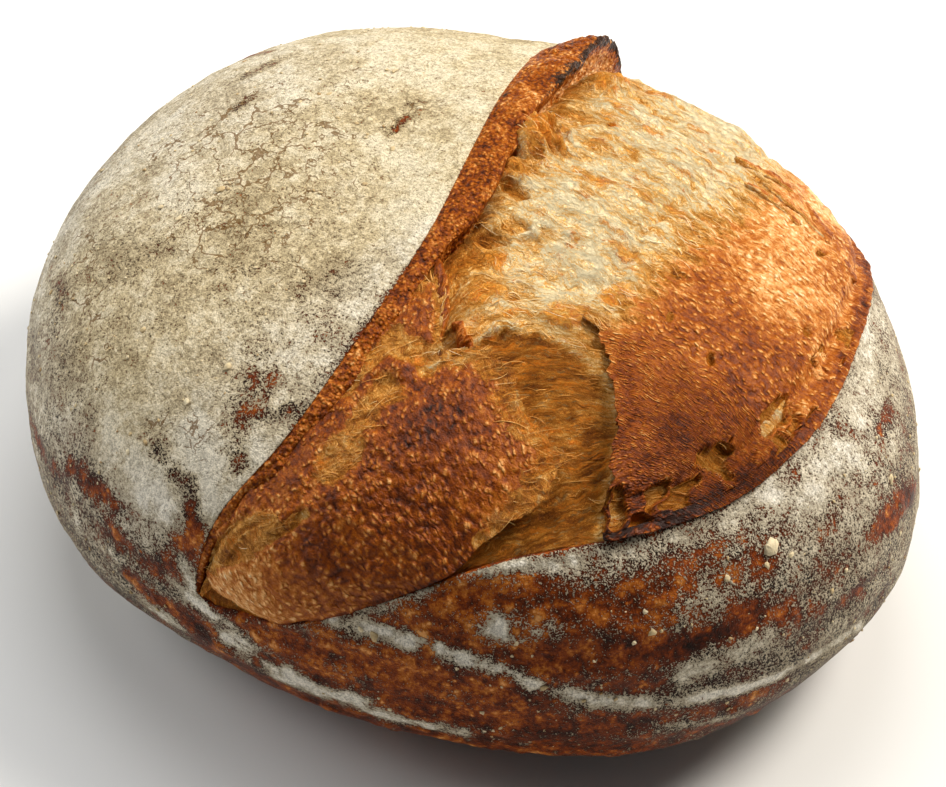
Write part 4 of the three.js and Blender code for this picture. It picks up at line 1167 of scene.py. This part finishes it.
def crumb_threads(material, openings):
    """Loose threads on the bloom and across the openings of the skins, given as (places, lifts, bakes)."""
    count = BLOOM_THREADS
    upper = chance.random(count) < 0.7
    s = np.where(upper, chance.uniform(0.04, 0.5, count), chance.uniform(0.25, 0.95, count))
    t = np.where(upper, chance.uniform(0.44, 0.86, count), chance.uniform(0.38, 0.48, count))
    lift, bake, _, _, plain = bed_surface(s, t)
    arch = chance.uniform(-0.1, 0.35, count)
    groups = [(plain, lift, bake, arch)]
    for place, height, baked in openings:
        some = chance.integers(0, len(place), OPENING_THREADS)
        arch = chance.uniform(-0.1, 0.6, OPENING_THREADS)
        groups.append((place[some], height[some], baked[some] - 0.08, arch))
    plain, lift, bake, arch = (np.concatenate(part) for part in zip(*groups))
    count = len(plain)
    lift = lift + chance.uniform(-0.1, 0.3, count)
    reach = chance.gamma(4, 0.9, count) + 1.5
    thick = chance.uniform(0.04, 0.09, count) * (1 + 0.8 * (chance.random(count) < 0.06))
    bakes = np.clip(bake - 0.05 + chance.normal(0, 0.09, count), 0.0, 0.7)
    return thread_bunch("crumb_threads", material, plain, lift, reach, arch, thick, bakes)


CLUMPS = [  # the clumps that stand out: azimuth, rise, size
    (346, 15, 2.7), (344.5, 13.4, 1), (348, 13, 1.1), (339, 14, 1), (293, 8, 1.6), (328, 13, 0.8),
    (352, 6, 0.9), (204, 40, 1.1), (145, 56, 1.2), (291, 8.5, 0.8), (340, 16, 0.7), (353, 18, 0.7),
    (110, 8, 1.4),
]
GRAINS = 1500  # small grains tried; those near the bloom are left out
GRAIN_AZIMUTHS = (100, 400)  # none are tried on the flank past the bloom
CLEAR_OF_BLOOM = 24


def flour_clumps(material):
    """Grains and clumps of flour and dried dough, many small and a few large, each a closed lump."""
    listed = np.array(CLUMPS)
    azimuth = np.concatenate([listed[:, 0], chance.uniform(*GRAIN_AZIMUTHS, GRAINS)])
    heights = chance.uniform(-0.15, 0.97, GRAINS)
    rise = np.concatenate([listed[:, 1], np.degrees(np.arcsin(heights))])
    size = np.concatenate([listed[:, 2], chance.gamma(2, 0.13, GRAINS) + 0.14])
    directions = direction_of(azimuth, rise)
    plain = skin_point(directions)
    line = skin_point(np.vstack([across_score(np.array([a]), np.array([b])) for a in (0.05, 0.3, 0.6, 0.9)
                                 for b in np.linspace(0.05, 0.95, 30)]))
    clear = nearest(plain, line)[0] > CLEAR_OF_BLOOM
    clear[:len(listed)] = True
    directions, plain, size = directions[clear], plain[clear], size[clear]
    rings, sides = 4, 7
    polar = np.linspace(0.35, 2.2, rings)
    turn = np.arange(sides) * 2 * np.pi / sides
    unit_points = np.concatenate([[[0, 0, 1.0]], np.stack([
        np.outer(np.sin(polar), np.cos(turn)), np.outer(np.sin(polar), np.sin(turn)),
        np.outer(np.cos(polar), np.ones(sides))], -1).reshape(-1, 3), [[0, 0, -0.75]]])
    normal = plain_normal(directions)
    side = unit(np.cross(normal, chance.normal(size=normal.shape)))
    other = np.cross(normal, side)
    n = len(size)
    wobble = 1 + 0.28 * chance.normal(size=(n, len(unit_points)))
    stretch = chance.uniform(0.6, 1.0, n)
    local = unit_points[None] * np.clip(wobble, 0.5, 1.5)[..., None] * size[:, None, None]
    flat = np.where(size > 0.6, 0.3, 0.5)
    points = plain[:, None] + side[:, None] * local[..., :1]
    points = points + other[:, None] * local[..., 1:2] * stretch[:, None, None]
    points = points + normal[:, None] * (local[..., 2:] * flat[:, None, None] + 0.1 * size[:, None, None])
    per = len(unit_points)
    body = grid_faces(rings, sides, closed=True)[:, ::-1] + 1
    caps = np.concatenate([fan(1 + np.arange(sides), 0),
                           fan(1 + (rings - 1) * sides + np.arange(sides), per - 1)[:, ::-1]])
    offset = (np.arange(n) * per)[:, None, None]
    faces = [(body[None] + offset).reshape(-1, 4), (caps[None] + offset).reshape(-1, 3)]
    bakes = np.repeat(np.clip(chance.normal(0.35, 0.25, n), 0, 1), per)
    return make_piece("flour_clumps", points.reshape(-1, 3), faces, material, {"bake": bakes})


skin = browned_skin()
crust_piece(floured_crust())
crumb = burst_crumb()
bed_piece(crumb)
openings = [skin_piece(TONGUE, skin, 380, 120), skin_piece(SHIELD, skin, 460, 130)]
ear_piece(charred_ear())
torn_strands(skin)
crumb_threads(threads_of_crumb(), openings)
flour_clumps(caked_flour())

# ---------- Floor, light and camera ----------

FLOOR_REACH = 3  # metres from the loaf to the floor's sides
FLOOR_TONE = "e9e9e7"
floor_mesh = bpy.data.meshes.new("floor")
corners = [(x * FLOOR_REACH, y * FLOOR_REACH, 0) for x, y in ((-1, -1), (1, -1), (1, 1), (-1, 1))]
floor_mesh.from_pydata(corners, [], [(0, 1, 2, 3)])
floor = bpy.data.objects.new("floor", floor_mesh)
bpy.context.scene.collection.objects.link(floor)
floor_material, floor_tree = start_material("pale_matte_floor")
finish_material(floor_tree, colour(FLOOR_TONE), 0.9, 0.0, 0.0)
floor_mesh.materials.append(floor_material)

VIEW_AZIMUTH, VIEW_ELEVATION = 36, 46  # degrees
VIEW_DISTANCE = 1.0  # metres
LENS, SENSOR_WIDTH = 137.6, 36  # millimetres
TARGET = np.array([3.1, -3.5, 45]) * MM


def towards_camera():
    a, e = math.radians(VIEW_AZIMUTH), math.radians(VIEW_ELEVATION)
    return np.array([math.sin(a) * math.cos(e), -math.cos(a) * math.cos(e), math.sin(e)])


def aim(thing, place, target):
    thing.location = place
    away = np.asarray(place) - np.asarray(target)
    thing.rotation_euler = Vector(away).to_track_quat("Z", "Y").to_euler()


camera_data = bpy.data.cameras.new("camera")
camera_data.sensor_width = SENSOR_WIDTH
camera_data.lens = LENS
camera = bpy.data.objects.new("camera", camera_data)
bpy.context.scene.collection.objects.link(camera)
aim(camera, TARGET + towards_camera() * VIEW_DISTANCE, TARGET)
bpy.context.scene.camera = camera


def softbox(name, place, size, watts, tint="ffffff"):
    data = bpy.data.lights.new(name, "AREA")
    data.size = size
    data.energy = watts
    data.color = colour(tint)[:3]
    lamp = bpy.data.objects.new(name, data)
    bpy.context.scene.collection.objects.link(lamp)
    aim(lamp, place, TARGET)


# Places and sizes in metres, power in watts.
softbox("window_behind_right", (0.5, 0.75, 1.0), 0.5, 22, "fff8ee")
softbox("window_overhead", (-0.3, 0.35, 1.15), 0.8, 7.5, "ffffff")
softbox("fill_left", (-0.9, -0.35, 0.6), 0.6, 6, "ffffff")
world = bpy.data.worlds.new("studio")
bpy.context.scene.world = world
world.use_nodes = True
world.node_tree.nodes["Background"].inputs["Color"].default_value = colour("ffffff")
world.node_tree.nodes["Background"].inputs["Strength"].default_value = 0.1
bpy.context.scene.view_settings.view_transform = "Standard"
bpy.context.scene.view_settings.look = "None"
